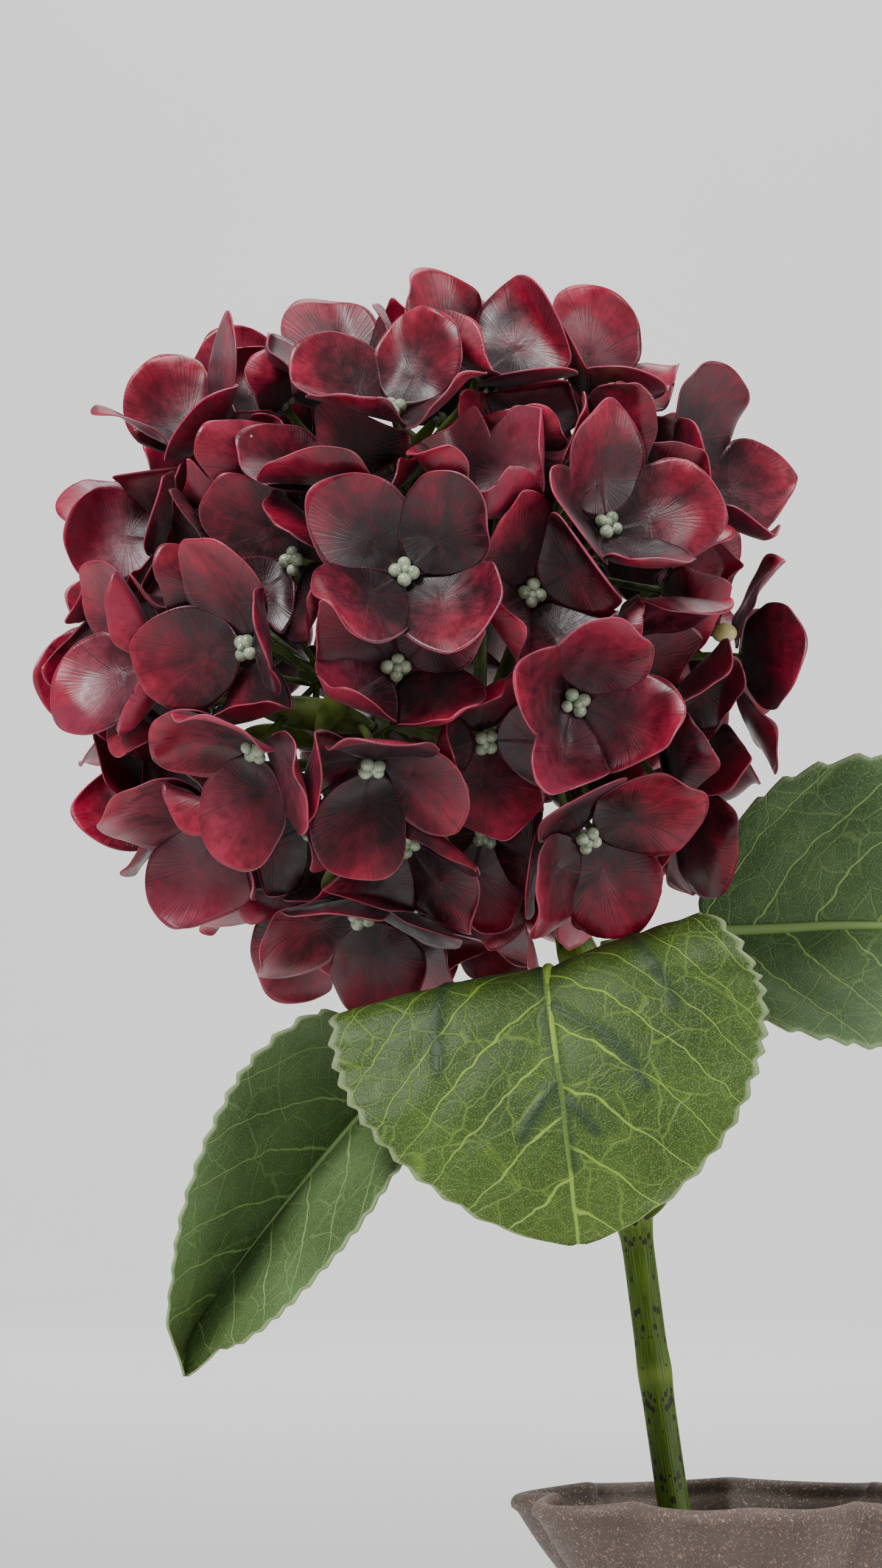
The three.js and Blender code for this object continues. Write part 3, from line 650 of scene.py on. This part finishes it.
def leaf_veins(paint, across, along, reach, shake, phase):
    """How much of a main or side vein each point of a leaf is, 0 to 1."""
    out = paint.math("ABSOLUTE", across)
    side = paint.times(paint.math("LESS_THAN", across, 0), 0.5)
    curve = paint.plus(paint.times(out, LATERAL_SLOPE),
                       paint.times(paint.times(out, out), LATERAL_BEND))
    count = paint.math("SUBTRACT", paint.plus(along, shake), curve)
    count = paint.math("DIVIDE", count, LATERAL_SPACING)
    count = paint.plus(paint.plus(count, side), phase)
    near = paint.math("ABSOLUTE", paint.math("SUBTRACT", paint.math("FRACT", count), 0.5))
    near = paint.times(paint.math("SUBTRACT", 0.5, near), LATERAL_SPACING)
    width = paint.span(reach, 0, 1, 0.42, 0.18, smooth=False)
    lateral = paint.span(paint.math("DIVIDE", near, width), 0.5, 1.6, 1, 0)
    near = paint.math("ABSOLUTE", paint.plus(across, paint.times(shake, 0.12)))
    width = paint.span(along, 0, 110, 0.95, 0.4, smooth=False)
    midrib = paint.span(paint.math("DIVIDE", near, width), 0.55, 1.3, 1, 0)
    return paint.math("MAXIMUM", midrib, lateral)


def leaf_paint(name, dark, light, vein, phase):
    paint = Paint(name, Specular_IOR_Level=0.3)
    across, along, reach = paint.channels("leaf")
    ridge = paint.attribute("ridge")
    skin = paint.vector(across, along)
    shake = paint.times(paint.math("SUBTRACT", paint.noise(0.09, 2, skin), 0.5), 7)
    veins = leaf_veins(paint, across, along, reach, shake, phase)
    warped = paint.vector(paint.plus(across, shake), paint.plus(along, shake))
    net = paint.span(paint.cells(0.085, warped, "DISTANCE_TO_EDGE"), 0.006, 0.03, 1, 0)
    net = paint.times(net, paint.span(paint.noise(0.06, 1, skin), 0.3, 0.6, 0.25, 0.8))
    small = paint.span(paint.cells(0.3, warped, "DISTANCE_TO_EDGE"), 0.01, 0.09, 1, 0)
    grain = paint.noise(2.6, 2, skin, roughness=0.7)
    cloud = paint.noise(0.035, 3, skin)
    paint.set("Base Color", paint.layers(
        paint.mix(paint.span(cloud), dark, light),
        (paint.times(paint.span(along, 62, 112), 0.55), "#54691c"),
        (paint.span(grain, 0.52, 0.68, 0, 0.55), "#92a46a"),
        (paint.span(grain, 0.46, 0.3, 0, 0.5), "#2c3f1a"),
        (paint.times(small, 0.1), vein), (paint.times(net, 0.34), vein),
        # painted shade: the pressed ridges are darkened to dark blue-green to stand in for the shade
        # in their grooves
        (paint.times(veins, 0.85), vein), (paint.times(ridge, 0.75), "#1d3526"),
        (paint.span(reach, 0.965, 0.995, 0, 0.6), "#a9b98a")))
    paint.set("Roughness", paint.span(grain, 0.3, 0.7, 0.36, 0.55))
    height = paint.plus(paint.times(veins, -1.3), paint.times(net, -0.8))
    height = paint.plus(height, paint.times(grain, 0.55))
    paint.bump(paint.plus(height, paint.times(small, -0.35)), 0.55, 0.3)
    return paint.material


def make_leaf(name, leaf):
    grid, flat = leaf_grid(leaf)
    ridges = ridge_heights(grid, leaf.get("ridges", []))
    grid = grid - sheet_normals(grid) * (RIDGE_HEIGHT * ridges[..., None])
    bundle = Bundle()
    place = np.concatenate([flat.reshape(-1, 3)] * 2)
    # the ridges' heights also go to the paint, which darkens them as painted shade
    bundle.add(*thick_sheet(grid, LEAF_THICKNESS), ridge=np.concatenate([ridges.ravel()] * 2),
               leaf=np.column_stack([place, np.ones(len(place))]))
    route = Route(leaf["midrib"])
    under = [route.point(share) for share in STALK_UNDER]
    stalk = Route([*leaf["stalk"], leaf["midrib"][0], *under])
    outside = Route(stalk.spread(12, STALK_START / stalk.length))
    rings = tube_rings(outside, STALK_ROWS, STALK_SIDES, lambda share, turns: (
        STALK_RADIUS * (1.12 - STALK_TAPER * share) * (1 + 0.05 * np.cos(2 * turns))))
    points, faces = rings_mesh(rings)
    bundle.add(points, faces, leaf=np.tile(STALK_PLACE, (len(points), 1)),
               ridge=np.zeros(len(points)))
    return bundle.piece(f"{name}_blade")


# Flower head

HEAD_CENTRE = np.array([-81.5, 20, 389])
EYE_RADIUS = 69
SEPAL_LENGTH = 30
SEPAL_RISE = 41
SEPAL_BEND = 52
SEPAL_HOLLOW = 2.6
SEPAL_THICKNESS = 0.8
FINE_THICKNESS = 0.42
SEPAL_WAVES = [  # height, how near the rim, phase and count of the waves; the last is fine
    (2.5, 2.5, 3.1, 2), (1.2, 4, 1.7, 4.3), (0.55, 6, 2.9, 8.3),
]
SEPAL_MIDDLE = 0.56  # the middle and the half length, as shares of the sepal's length
SEPAL_HALF = 0.48
SEPAL_HALF_WIDTH = 0.455
SEPAL_FOOT = 0.62  # how wide the foot is for the rest
SEPAL_CURL = 2.6
WAVE_CENTRE = 0.45
NEIGHBOUR = 0.75
SPREAD_SHIFT = 8
PRESS_DEPTH = 2.5
PRESS_RISE = 0.35
BACK_FLORETS = 31
BARE_ANGLE = 27
CLEAR_ANGLE = 17  # between a back floret and one of the front
SETTLING_ROUNDS = 40
SETTLING_PUSH = 0.004
FRONT_LOOSENESS = 0.12
RAYS = 14
RAY_REACH = 50
RAY_BARE_ANGLE = 40
RAY_RADII = (2.0, 1.4)
HUB_LENGTH = 10
FLORET_STALK_RADII = (0.8, 1.1)
NECK = 7  # the straight end of a floret's stalk
FLORETS = [  # azimuth, elevation, roll, spread, lift, lean to the right and up
    (-4, 5, 46, 1.4, 6, 0, 10), (29, 4, 30, 1.1, 1.5, -12, 0), (45, 17, 95, 1.15, 5, -18, 5),
    (-3, -12, 42, 1.35, 2, 0, 25), (34, -43, 48, 1.5, 10, -10, 15), (61, -11, 40, 1.1, 3, 10, -5),
    (14, -24, 10, 1.3, -1, 10, -5), (-11, 43, 62, 1.25, 4, -10, 5),
    (-45, 23, 0, 0.9, -3, -15, 20), (26, 63, 25, 1.1, 3, 0, -15),
    (76, 30, 70, 1.25, 12, -25, 5), (80, 52, 40, 1.1, 8, -20, 10), (87, 0, 0, 1.6, 14, 5, 0),
    (89, -31, 45, 1.2, 9, 0, 5), (-27, -21, 70, 1.45, 7, -15, -22),
    (-6, -27, 80, 1.4, 5, 10, -30), (27, -13, 75, 1.2, 7, -30, 5), (30, 84, 10, 1, -3, 0, -10),
    (-24, 56, 35, 1, -1, -10, 10), (-55, 53, 5, 1, -2, 0, -10), (-63, 40, 75, 0.95, 2, 20, 15),
    (-69, 26, 20, 1.1, -2, 25, 0), (-86, 18, 50, 1, -1, 0, -10), (-47, 8, 70, 0.95, -2.5, -15, 20),
    (-56, -5, 30, 1.05, 1, -5, 10), (-32, -3, 5, 1.45, 3, -15, 0), (-84, -6, 80, 1.2, -4, 40, -5),
    (-62, -20, 55, 1.1, -2, 0, -15), (-88, -32, 15, 1.1, 0.5, 10, 20),
    (-46, -38, 45, 1.2, 4, 15, -10), (-86, -50, 60, 1.1, -1, 0, 15),
    (-24, -42, 20, 1.15, -1.5, -10, 10), (-75, -60, 35, 1.2, 2, 10, 20),
    (-30, -61, 85, 1.4, 6, 15, 15), (5, -44, 50, 1.15, 0, -10, 5),
    (17, -44, 5, 1.15, -3, -20, 10), (-14, 25, 85, 1.3, -1, -5, 30), (9, 27, 15, 1.05, 1, 5, 33),
    (29, 38, 55, 1, -1, -15, 20), (62, 34, 80, 1, 0.5, 30, 5), (104, 46, 30, 1.1, 3, 0, 0),
    (75, 72, 20, 1.1, -2, 0, -15), (71, 11, 30, 1.15, -1.5, 10, -20), (45, -2, 75, 1.15, -1, 5, -25),
    (-23, 12, 40, 1.35, -2.5, -25, -10),
]
BACK_LEAN = 14
TOP_DROP = 5
BRACT_WIDTH = 0.34
BRACT_BOW = 0.06
BRACT_FOOT_DROP = 4
BRACT_TIP_RISE = 2
BRACT_STALK_RADIUS = 0.7
BUD_STALK_RADIUS = 0.6
BRACTS = [  # photo pixels of foot and tip, and distance from the head's centre
    ((610, 1195), (425, 1165), 66), ((520, 1210), (575, 1110), 68), ((300, 1345), (315, 1425), 74),
    ((700, 1330), (735, 1410), 74), ((580, 1400), (530, 1460), 76), ((850, 730), (880, 665), 72),
    ((660, 745), (715, 690), 68), ((530, 1225), (400, 1205), 62), ((715, 740), (650, 690), 62),
]
BUDS = [  # photo pixel, distance from the head's centre, radius, and how long it is for that
    ((830, 815), 78, 2.7, 1.1), ((846, 838), 77, 2.1, 1.1), ((1000, 650), 82, 2.6, 1.5),
    ((985, 692), 80, 2.2, 1.3), ((968, 702), 80, 2.0, 1.2), ((410, 725), 80, 2.3, 1.2),
    ((1190, 1040), 83, 2.5, 1.3),
]
PAIR_RISE = 0.7
PAIR_LIFT = 0.12
CROSSING_RADIUS = 79
OVER_ANGLE = 42
HEAD_GROUPS = 6
BEAD_ROWS = 9
BEAD_SIDES = 14
BEAD_CAP = 0.12  # the polar angle of a bead's first ring
EYE_RISE = 1.6
BEAD_RADIUS = 1.55
BEAD_REACH = 1.95  # from the eye's middle to each of its four outer beads
MIDDLE_BEAD = 1.2
SOFT_RADIUS = (0.002, 0.002, 0.001)  # how far light goes in, in metres


def direction(azimuth, elevation):
    return np.array([math.sin(azimuth) * math.cos(elevation),
                     -math.cos(azimuth) * math.cos(elevation), math.sin(elevation)])


def angle_between(a, b):
    return math.acos(max(-1, min(1, a.dot(b))))


def stem_direction():
    return unit(np.array(STEM_ROUTE[-3], float) - HEAD_CENTRE)


def spiral_directions(count):
    golden = math.pi * (3 - math.sqrt(5))
    return [direction(i * golden, math.asin(-1 + (2 * i + 1) / count)) for i in range(count)]


def back_directions(front):
    stem = stem_direction()
    free = [d for d in spiral_directions(120)
            if angle_between(d, stem) > math.radians(BARE_ANGLE)
            and all(angle_between(d, other) > math.radians(CLEAR_ANGLE) for other in front)]
    step = len(free) / BACK_FLORETS
    return [free[int(i * step)] for i in range(BACK_FLORETS)]


def settle(directions, front_count):
    """Pushes crowded florets apart. Those of the front keep nearly to their places."""
    places = np.array([*directions, stem_direction()])
    for _ in range(SETTLING_ROUNDS):
        for i in range(len(directions)):
            away = places[i] - places
            distance = np.linalg.norm(away, axis=1)
            near = (distance > 0) & (distance < NEIGHBOUR)
            push = (away[near] * (SETTLING_PUSH / distance[near] ** 3)[:, None]).sum(0)
            push *= min(1, 0.05 / max(np.linalg.norm(push), 1e-12))
            places[i] = unit(places[i] + push * (FRONT_LOOSENESS if i < front_count else 1))
    return places[:-1]


class Floret:
    def __init__(self, facing, roll, spread, lift, lean_right, lean_up):
        self.facing, self.roll, self.spread, self.lift = facing, roll, spread, lift
        self.lean = lean_right, lean_up
        self.height = lift

    def settle_at(self, facing):
        self.facing = facing
        self.eye = HEAD_CENTRE + facing * (EYE_RADIUS + self.lift)
        up = unit(np.array([0, 0, 1.0]) - facing * facing[2])
        right = np.cross(up, facing)
        lean_right, lean_up = (math.tan(math.radians(lean)) for lean in self.lean)
        self.axis = unit(facing + right * lean_right + up * lean_up)
        self.up = unit(up - self.axis * up.dot(self.axis))
        self.right = np.cross(self.up, self.axis)

    def outward(self, turn):
        return self.right * math.cos(turn) + self.up * math.sin(turn)


def place_florets():
    draw = random_source(SEED)
    florets = [Floret(direction(math.radians(a), math.radians(e)), math.radians(roll), *rest)
               for a, e, roll, *rest in FLORETS]
    for facing in back_directions([floret.facing for floret in florets]):
        roll = next(draw) * math.pi
        spread = 0.95 + 0.3 * next(draw)
        lift = 6 * next(draw) - 3 - TOP_DROP * max(0, facing[2])
        leans = [BACK_LEAN * (2 * next(draw) - 1) for _ in range(2)]
        florets.append(Floret(facing, roll, spread, lift, *leans))
    settled = settle([floret.facing for floret in florets], len(FLORETS))
    for number, (floret, facing) in enumerate(zip(florets, settled)):
        floret.settle_at(facing)
        floret.height += 0.001 * number
    return florets


def pressed(points, floret, florets):
    """Keeps points on their floret's side of a plane half-way to each neighbour.

    The plane leans towards the lower of the two, so that the higher one lies over it."""
    for other in florets:
        way = other.facing - floret.facing
        apart = np.linalg.norm(way)
        if 0 < apart < NEIGHBOUR:
            over = math.radians(OVER_ANGLE if floret.height > other.height else -OVER_ANGLE)
            middle = unit(floret.facing + other.facing)
            normal = way / apart * math.cos(over) - middle * math.sin(over)
            crossing = CROSSING_RADIUS + (floret.height + other.height) / 2
            shift = SPREAD_SHIFT * (floret.spread - other.spread) - SEPAL_THICKNESS
            reach = (points - HEAD_CENTRE) @ normal + crossing * math.sin(over)
            beyond = np.maximum(reach - shift + PRESS_DEPTH, 0)
            back = beyond - PRESS_DEPTH * (1 - np.exp(-beyond / PRESS_DEPTH))
            slide = floret.facing - normal * normal.dot(floret.facing)
            points = points + back[:, None] * (PRESS_RISE * slide - normal)
    return points


def sepal_disc():
    """A round sepal's outline as a grid: across and along as shares of its length."""
    a, b = np.meshgrid(np.linspace(-1, 1, SEPAL_GRID), np.linspace(-1, 1, SEPAL_GRID))
    x = a * np.sqrt(1 - b ** 2 / 2)
    y = b * np.sqrt(1 - a ** 2 / 2)
    along = SEPAL_MIDDLE + SEPAL_HALF * y
    narrow = SEPAL_FOOT + (1 - SEPAL_FOOT) * np.clip((along - 0.05) / 0.4, 0, 1) ** 0.8
    return SEPAL_HALF_WIDTH * x * narrow, along, np.hypot(x, y), np.arctan2(x, y + 0.35)


def sepal_grid(floret, florets, turn, pair, draw):
    """One sepal's grid of points, by the same form as in the solid head, with finer waves."""
    along = floret.outward(turn)
    side = np.cross(floret.axis, along)
    bend = math.radians(SEPAL_BEND) * (0.7 + 0.6 * next(draw))
    middle = math.radians(SEPAL_RISE * (0.85 + 0.3 * next(draw))) / floret.spread
    middle *= 1 + PAIR_LIFT * pair
    length = SEPAL_LENGTH * (0.92 + 0.16 * next(draw))
    start = middle - bend / 2
    phase = 2 * math.pi * next(draw)
    curl = bend / length
    across, run, rho, _ = sepal_disc()
    slope = start + curl * run * length
    out = (np.sin(slope) - math.sin(start)) / curl
    rise = (math.cos(start) - np.cos(slope)) / curl
    turned = np.arctan2(across, run - WAVE_CENTRE)
    wave = sum(height * rho ** power * np.sin(shift * phase + count * turned)
               for height, power, shift, count in SEPAL_WAVES)
    wave -= (SEPAL_CURL * (np.clip(rho - 0.6, 0, 1) / 0.4) ** 2
             * (0.6 + 0.6 * np.cos(turned + phase)))
    hollow = (SEPAL_HOLLOW * (across / 0.4) ** 2 + wave) * run
    rise = rise + PAIR_RISE * pair
    points = (floret.eye
              + along * (out - hollow * np.sin(slope))[..., None]
              + floret.axis * (rise + hollow * np.cos(slope))[..., None]
              + side * (across * length)[..., None])
    shape = points.shape
    return pressed(points.reshape(-1, 3), floret, florets).reshape(shape)


def petal_paint():
    paint = Paint("petal_red", Specular_IOR_Level=0.5, Sheen_Weight=0.1, Sheen_Roughness=0.45,
                  Sheen_Tint="#cdb6cd")
    run, rim, tone = paint.channels("petal")
    fan = paint.attribute("fan")
    cloud = paint.noise(75, 3, distortion=0.6)
    mottle = paint.noise(330, 4, roughness=0.65)
    depth = paint.plus(paint.times(run, 0.72), 0.16)
    depth = paint.plus(depth, paint.math("SUBTRACT", cloud, 0.5))
    depth = paint.plus(depth, paint.times(paint.math("SUBTRACT", mottle, 0.5), 0.5))
    depth = paint.plus(depth, paint.span(tone, 0, 1, -0.22, 0.2, smooth=False))
    ramp = paint.node("ShaderNodeValToRGB", {0: depth})
    stops = [(0.1, "#110206"), (0.36, "#29040c"), (0.57, "#56031c"), (0.78, "#800727"),
             (1.0, "#ac123b")]
    for index, (at, text) in enumerate(stops):
        stop = ramp.color_ramp.elements[index] if index < 2 else ramp.color_ramp.elements.new(at)
        stop.position = at
        stop.color = srgb(text)
    veins = paint.noise(1, 3, paint.vector(paint.times(fan, 26), paint.times(run, 2.2), tone))
    # painted sheen: grey-violet patches on some sepals stand in for the satin's soft greyish
    # reflection
    painted_sheen = paint.times(paint.span(tone, 0.55, 0.95, 0, 0.6), paint.span(cloud, 0.35, 0.6))
    paint.set("Base Color", paint.layers(
        ramp.outputs["Color"], (paint.span(veins, 0.42, 0.3, 0, 0.5), "#22060e"),
        (paint.span(veins, 0.6, 0.75, 0, 0.3), "#a82a45"), (painted_sheen, "#4c2f3b"),
        (paint.span(rim, 0.985, 1, 0, 0.35), "#bb5a74")))
    paint.set("Roughness", paint.span(mottle, 0.3, 0.7, 0.29, 0.46))
    paint.bump(paint.plus(veins, paint.times(mottle, 0.5)), 0.32, 0.3)
    return paint.material


def speckled_paint(name, colours, noises, specks, rough, bump, rough_by=1, bump_by=1, **settings):
    """A cloudy colour with fine specks; noise 0 makes the clouds and noise 1 the specks."""
    paint = Paint(name, **settings)
    low, high, speck = colours
    noises = [paint.noise(*noise) for noise in noises]
    colour = paint.mix(paint.span(noises[0]), low, high)
    paint.set("Base Color", paint.mix(paint.span(noises[1], *specks), colour, speck))
    paint.set("Roughness", paint.span(noises[rough_by], 0.3, 0.7, *rough))
    paint.bump(noises[bump_by], *bump)
    return paint.material


def eye_paint():
    return speckled_paint(
        "eye_green", ("#7f8f74", "#b4bfa4", "#d9dfc9"), ((420, 2), (2400, 1)),
        (0.66, 0.75, 0, 0.6), (0.12, 0.3), (0.15, 0.1), rough_by=0, Coat_Weight=0.4,
        Subsurface_Weight=0.25, Subsurface_Radius=SOFT_RADIUS)


def stalk_paint():
    return speckled_paint(
        "stalk_green", ("#3b4a1c", "#6f8238", "#4b3a1f"), ((140, 3), (900, 2)),
        (0.62, 0.72, 0, 0.7), (0.38, 0.6), (0.25, 0.2))


def bud_paint(name, low, high):
    return speckled_paint(
        name, (low, high, "#5a2a22"), ((220, 3), (1100, 2)), (0.62, 0.74, 0, 0.5), (0.32, 0.55),
        (0.3, 0.3), bump_by=0, Subsurface_Weight=0.15, Subsurface_Radius=SOFT_RADIUS)


def make_sepals(florets):
    draw = random_source(SEED + 1)
    groups = [Bundle() for _ in range(HEAD_GROUPS)]
    _, run, rho, fan = sepal_disc()
    for number, floret in enumerate(florets):
        azimuth = math.atan2(floret.facing[0], -floret.facing[1]) % (2 * math.pi)
        group = groups[int(azimuth / (2 * math.pi) * HEAD_GROUPS) % HEAD_GROUPS]
        shade = (number * 0.618) % 1
        for k in range(4):
            turn = floret.roll + k * math.pi / 2
            grid = sepal_grid(floret, florets, turn, 1 - 2 * (k % 2), draw)
            tone = 0.7 * shade + 0.3 * ((number * 7 + k * 3) % 5) / 4
            petal = np.column_stack([run.ravel(), rho.ravel(), np.full(run.size, tone),
                                     np.ones(run.size)])
            group.add(*thick_sheet(grid, FINE_THICKNESS), petal=np.concatenate([petal, petal]),
                      fan=np.concatenate([fan.ravel()] * 2))
    return [group.piece(f"sepals_{i + 1}") for i, group in enumerate(groups)]


def bead(centre, radius, axis, squash=1.0):
    """A small round bead of rings, its pole along an axis."""
    side = unit(np.cross(axis, [0.3, 0.5, 0.8]))
    other = np.cross(axis, side)
    turns = 2 * np.pi * np.arange(BEAD_SIDES) / BEAD_SIDES
    rings = []
    for polar in np.linspace(BEAD_CAP, np.pi - BEAD_CAP, BEAD_ROWS):
        ring = np.sin(polar) * (np.cos(turns)[:, None] * side + np.sin(turns)[:, None] * other)
        rings.append(centre + radius * (ring - squash * math.cos(polar) * axis))
    return rings_mesh(rings)


def make_eyes(florets):
    bundle = Bundle()
    draw = random_source(SEED + 2)
    for floret in florets:
        centre = floret.eye + floret.axis * EYE_RISE
        for k in range(4):
            turn = floret.roll + math.pi / 4 + k * math.pi / 2 + 0.3 * (next(draw) - 0.5)
            place = centre + floret.outward(turn) * (BEAD_REACH + 0.3 * next(draw))
            place = place + floret.axis * (0.5 * next(draw))
            bundle.add(*bead(place, BEAD_RADIUS + 0.3 * next(draw), floret.axis))
        place = centre + floret.axis * 0.9 + floret.outward(2 * math.pi * next(draw)) * 0.6
        bundle.add(*bead(place, MIDDLE_BEAD, floret.axis))
    return bundle.piece("eyes")


def bract_blade(foot, tip, level):
    """A small pointed blade from its foot to its tip, hollow along its middle."""
    along = tip - foot
    length = np.linalg.norm(along)
    along = along / length
    level = unit(level - along * level.dot(along))
    up = np.cross(along, level)
    shares, reaches = np.linspace(0, 1, 25), np.linspace(-1, 1, 11)
    widths = BRACT_WIDTH * length * (shares ** 0.6) * (1.02 - shares) ** 0.55
    grid = (foot + along * (shares * length)[:, None, None]
            + level * (widths[:, None] * reaches)[..., None]
            + up * (0.25 * widths[:, None] * reaches ** 2
                    + BRACT_BOW * length * np.sin(np.pi * shares)[:, None])[..., None])
    return thick_sheet(grid, FINE_THICKNESS)


def make_bracts():
    """The small leafy bracts among the florets, and what carries each of them."""
    bundle, carried = Bundle(), []
    for foot, tip, radius in BRACTS:
        foot = on_ball(foot, HEAD_CENTRE, radius - BRACT_FOOT_DROP)
        tip = on_ball(tip, HEAD_CENTRE, radius + BRACT_TIP_RISE)
        level = np.cross(tip - foot, unit(foot - HEAD_CENTRE))
        bundle.add(*bract_blade(foot, tip, level))
        carried.append((foot, unit(foot - HEAD_CENTRE), BRACT_STALK_RADIUS))
    return bundle.piece("bracts"), carried


def make_buds():
    """The closed buds among the florets, and what carries each of them."""
    bundle, carried = Bundle(), []
    for pixel, radius, size, stretch in BUDS:
        place = on_ball(pixel, HEAD_CENTRE, radius)
        axis = unit(place - HEAD_CENTRE)
        bundle.add(*bead(place, size, axis, stretch))
        carried.append((place - axis * size, axis, BUD_STALK_RADIUS))
    return bundle.piece("buds"), carried


def make_stalks(florets, carried):
    bundle = Bundle()
    stem = Route(STEM_ROUTE)
    hub = stem.point(1) + stem.tangent(1) * GAP
    hub_end = stem.point(1) + stem.tangent(1) * HUB_LENGTH
    middle = (hub + hub_end) / 2

    def add_tube(points, radius, end_radius):
        rings = tube_rings(Route(points), 14, 10, lambda share, turns: (
            radius + (end_radius - radius) * share + 0 * turns))
        bundle.add(*rings_mesh(rings))

    add_tube([hub, middle, hub_end], STEM_RADIUS, STEM_RADIUS - 1.2)
    ends = [HEAD_CENTRE + d * RAY_REACH for d in spiral_directions(RAYS)
            if angle_between(d, stem_direction()) > math.radians(RAY_BARE_ANGLE)]
    for end in ends:
        bow = (middle + end) / 2 + unit(end - HEAD_CENTRE) * 2
        add_tube([middle, bow, end], *RAY_RADII)
    used = [0] * len(ends)
    for floret in florets:
        nearest = min(range(len(ends)), key=lambda i: np.linalg.norm(ends[i] - floret.eye))
        used[nearest] += 1
        root = ends[nearest] + (middle - ends[nearest]) * 0.05 * used[nearest]
        neck = floret.eye - floret.axis * NECK
        add_tube([root, (root + neck) / 2 + floret.facing, neck, floret.eye + floret.axis],
                 *FLORET_STALK_RADII)
    for foot, outward, radius in carried:
        nearest = min(ends, key=lambda end: np.linalg.norm(end - foot))
        root = nearest + (middle - nearest) * 0.08
        add_tube([root, (root + foot) / 2 + outward, foot - outward * 2, foot + outward * 0.3],
                 radius, radius)
    return bundle.piece("stalks")


# Camera, light and stage

def add_camera():
    lens = bpy.data.cameras.new("camera")
    lens.sensor_fit = "AUTO"
    lens.sensor_width = SENSOR
    lens.lens = FOCAL_PIXELS / PHOTO_HEIGHT * SENSOR
    lens.clip_start = 0.05
    lens.clip_end = 20
    camera = add_object("camera", lens)
    camera.location = [value * MM for value in CAMERA_PLACE]
    camera.rotation_euler = (math.radians(90 + CAMERA_PITCH), 0, 0)
    bpy.context.scene.camera = camera


def add_light(name, place, target, size, power):
    data = bpy.data.lights.new(name, "AREA")
    data.size = size
    data.energy = power
    light = add_object(name, data)
    light.location = place
    towards = np.array(target) - np.array(place)
    flat = math.hypot(towards[0], towards[1])
    light.rotation_euler = (math.atan2(flat, -towards[2]), 0, math.atan2(-towards[0], towards[1]))


def add_lights():
    head = tuple(HEAD_CENTRE * MM)
    lights = [  # name, place, target, size and power
        ("key", (-0.9, -1.1, 2.0), head, 0.7, 50),
        ("side", (1.7, -0.7, 0.9), head, 0.8, 16),
        ("top", (0.2, 0.6, 1.8), head, 0.9, 16),
        ("backdrop", (0, 3.6, 3.2), (0, 6.2, 0.6), 3.5, 165),
    ]
    for light in lights:
        add_light(*light)
    world = bpy.data.worlds.new("studio")
    world.use_nodes = True
    background = world.node_tree.nodes["Background"]
    background.inputs["Color"].default_value = srgb("#f2f2f2")
    background.inputs["Strength"].default_value = 0.45
    bpy.context.scene.world = world


def add_stage():
    """A pale floor that curves up into a wall, far enough behind for views from the back."""
    front, back, radius, top, half, drop = -8000, 6500, 1500, 5000, 8000, 0.2
    profile = [(front, 0), (back - radius, 0)]
    for turn in np.radians(np.linspace(6, 90, 15)):
        profile.append((back - radius + radius * math.sin(turn), radius * (1 - math.cos(turn))))
    profile.append((back, top))
    grid = np.array([[(x, y, z - drop) for x in (-half, half)] for y, z in profile])
    stage = add_mesh("stage", grid.reshape(-1, 3), grid_faces(len(profile), 2))
    paint = Paint("stage_paper", Roughness=0.9)
    shade = paint.noise(3, 2)
    paint.set("Base Color", paint.mix(shade, "#e3e3e2", "#e8e8e7"))
    stage.data.materials.append(paint.material)


# The object

LEAF_COLOURS = {  # dark, light and veins
    "leaf_front": ("#2d4313", "#415b1f", "#8bab40"),
    "leaf_left": ("#495f38", "#5f7a4c", "#8fae68"),
    "leaf_right": ("#3f5c36", "#587548", "#93b168"),
}


def build():
    finish_piece(make_vase(), vase_paint(), "vase")
    finish_piece(make_water(), water_paint(), "water")
    finish_piece(make_stem(), stem_paint(), "stem")
    for name, leaf in LEAVES.items():
        paint = leaf_paint(f"{name}_green", *LEAF_COLOURS[name], leaf["phase"])
        finish_piece(make_leaf(name, leaf), paint, name)
    florets = place_florets()
    petals = petal_paint()
    for index, piece in enumerate(make_sepals(florets)):
        finish_piece(piece, petals, None if index else "flower_head")
    finish_piece(make_eyes(florets), eye_paint())
    bracts, bract_feet = make_bracts()
    finish_piece(bracts, bud_paint("bract_green", "#4c5e22", "#7b8a3a"))
    buds, bud_feet = make_buds()
    finish_piece(buds, bud_paint("bud_yellow", "#a39a58", "#cfc48a"))
    finish_piece(make_stalks(florets, bract_feet + bud_feet), stalk_paint())


build()
add_stage()
add_lights()
add_camera()
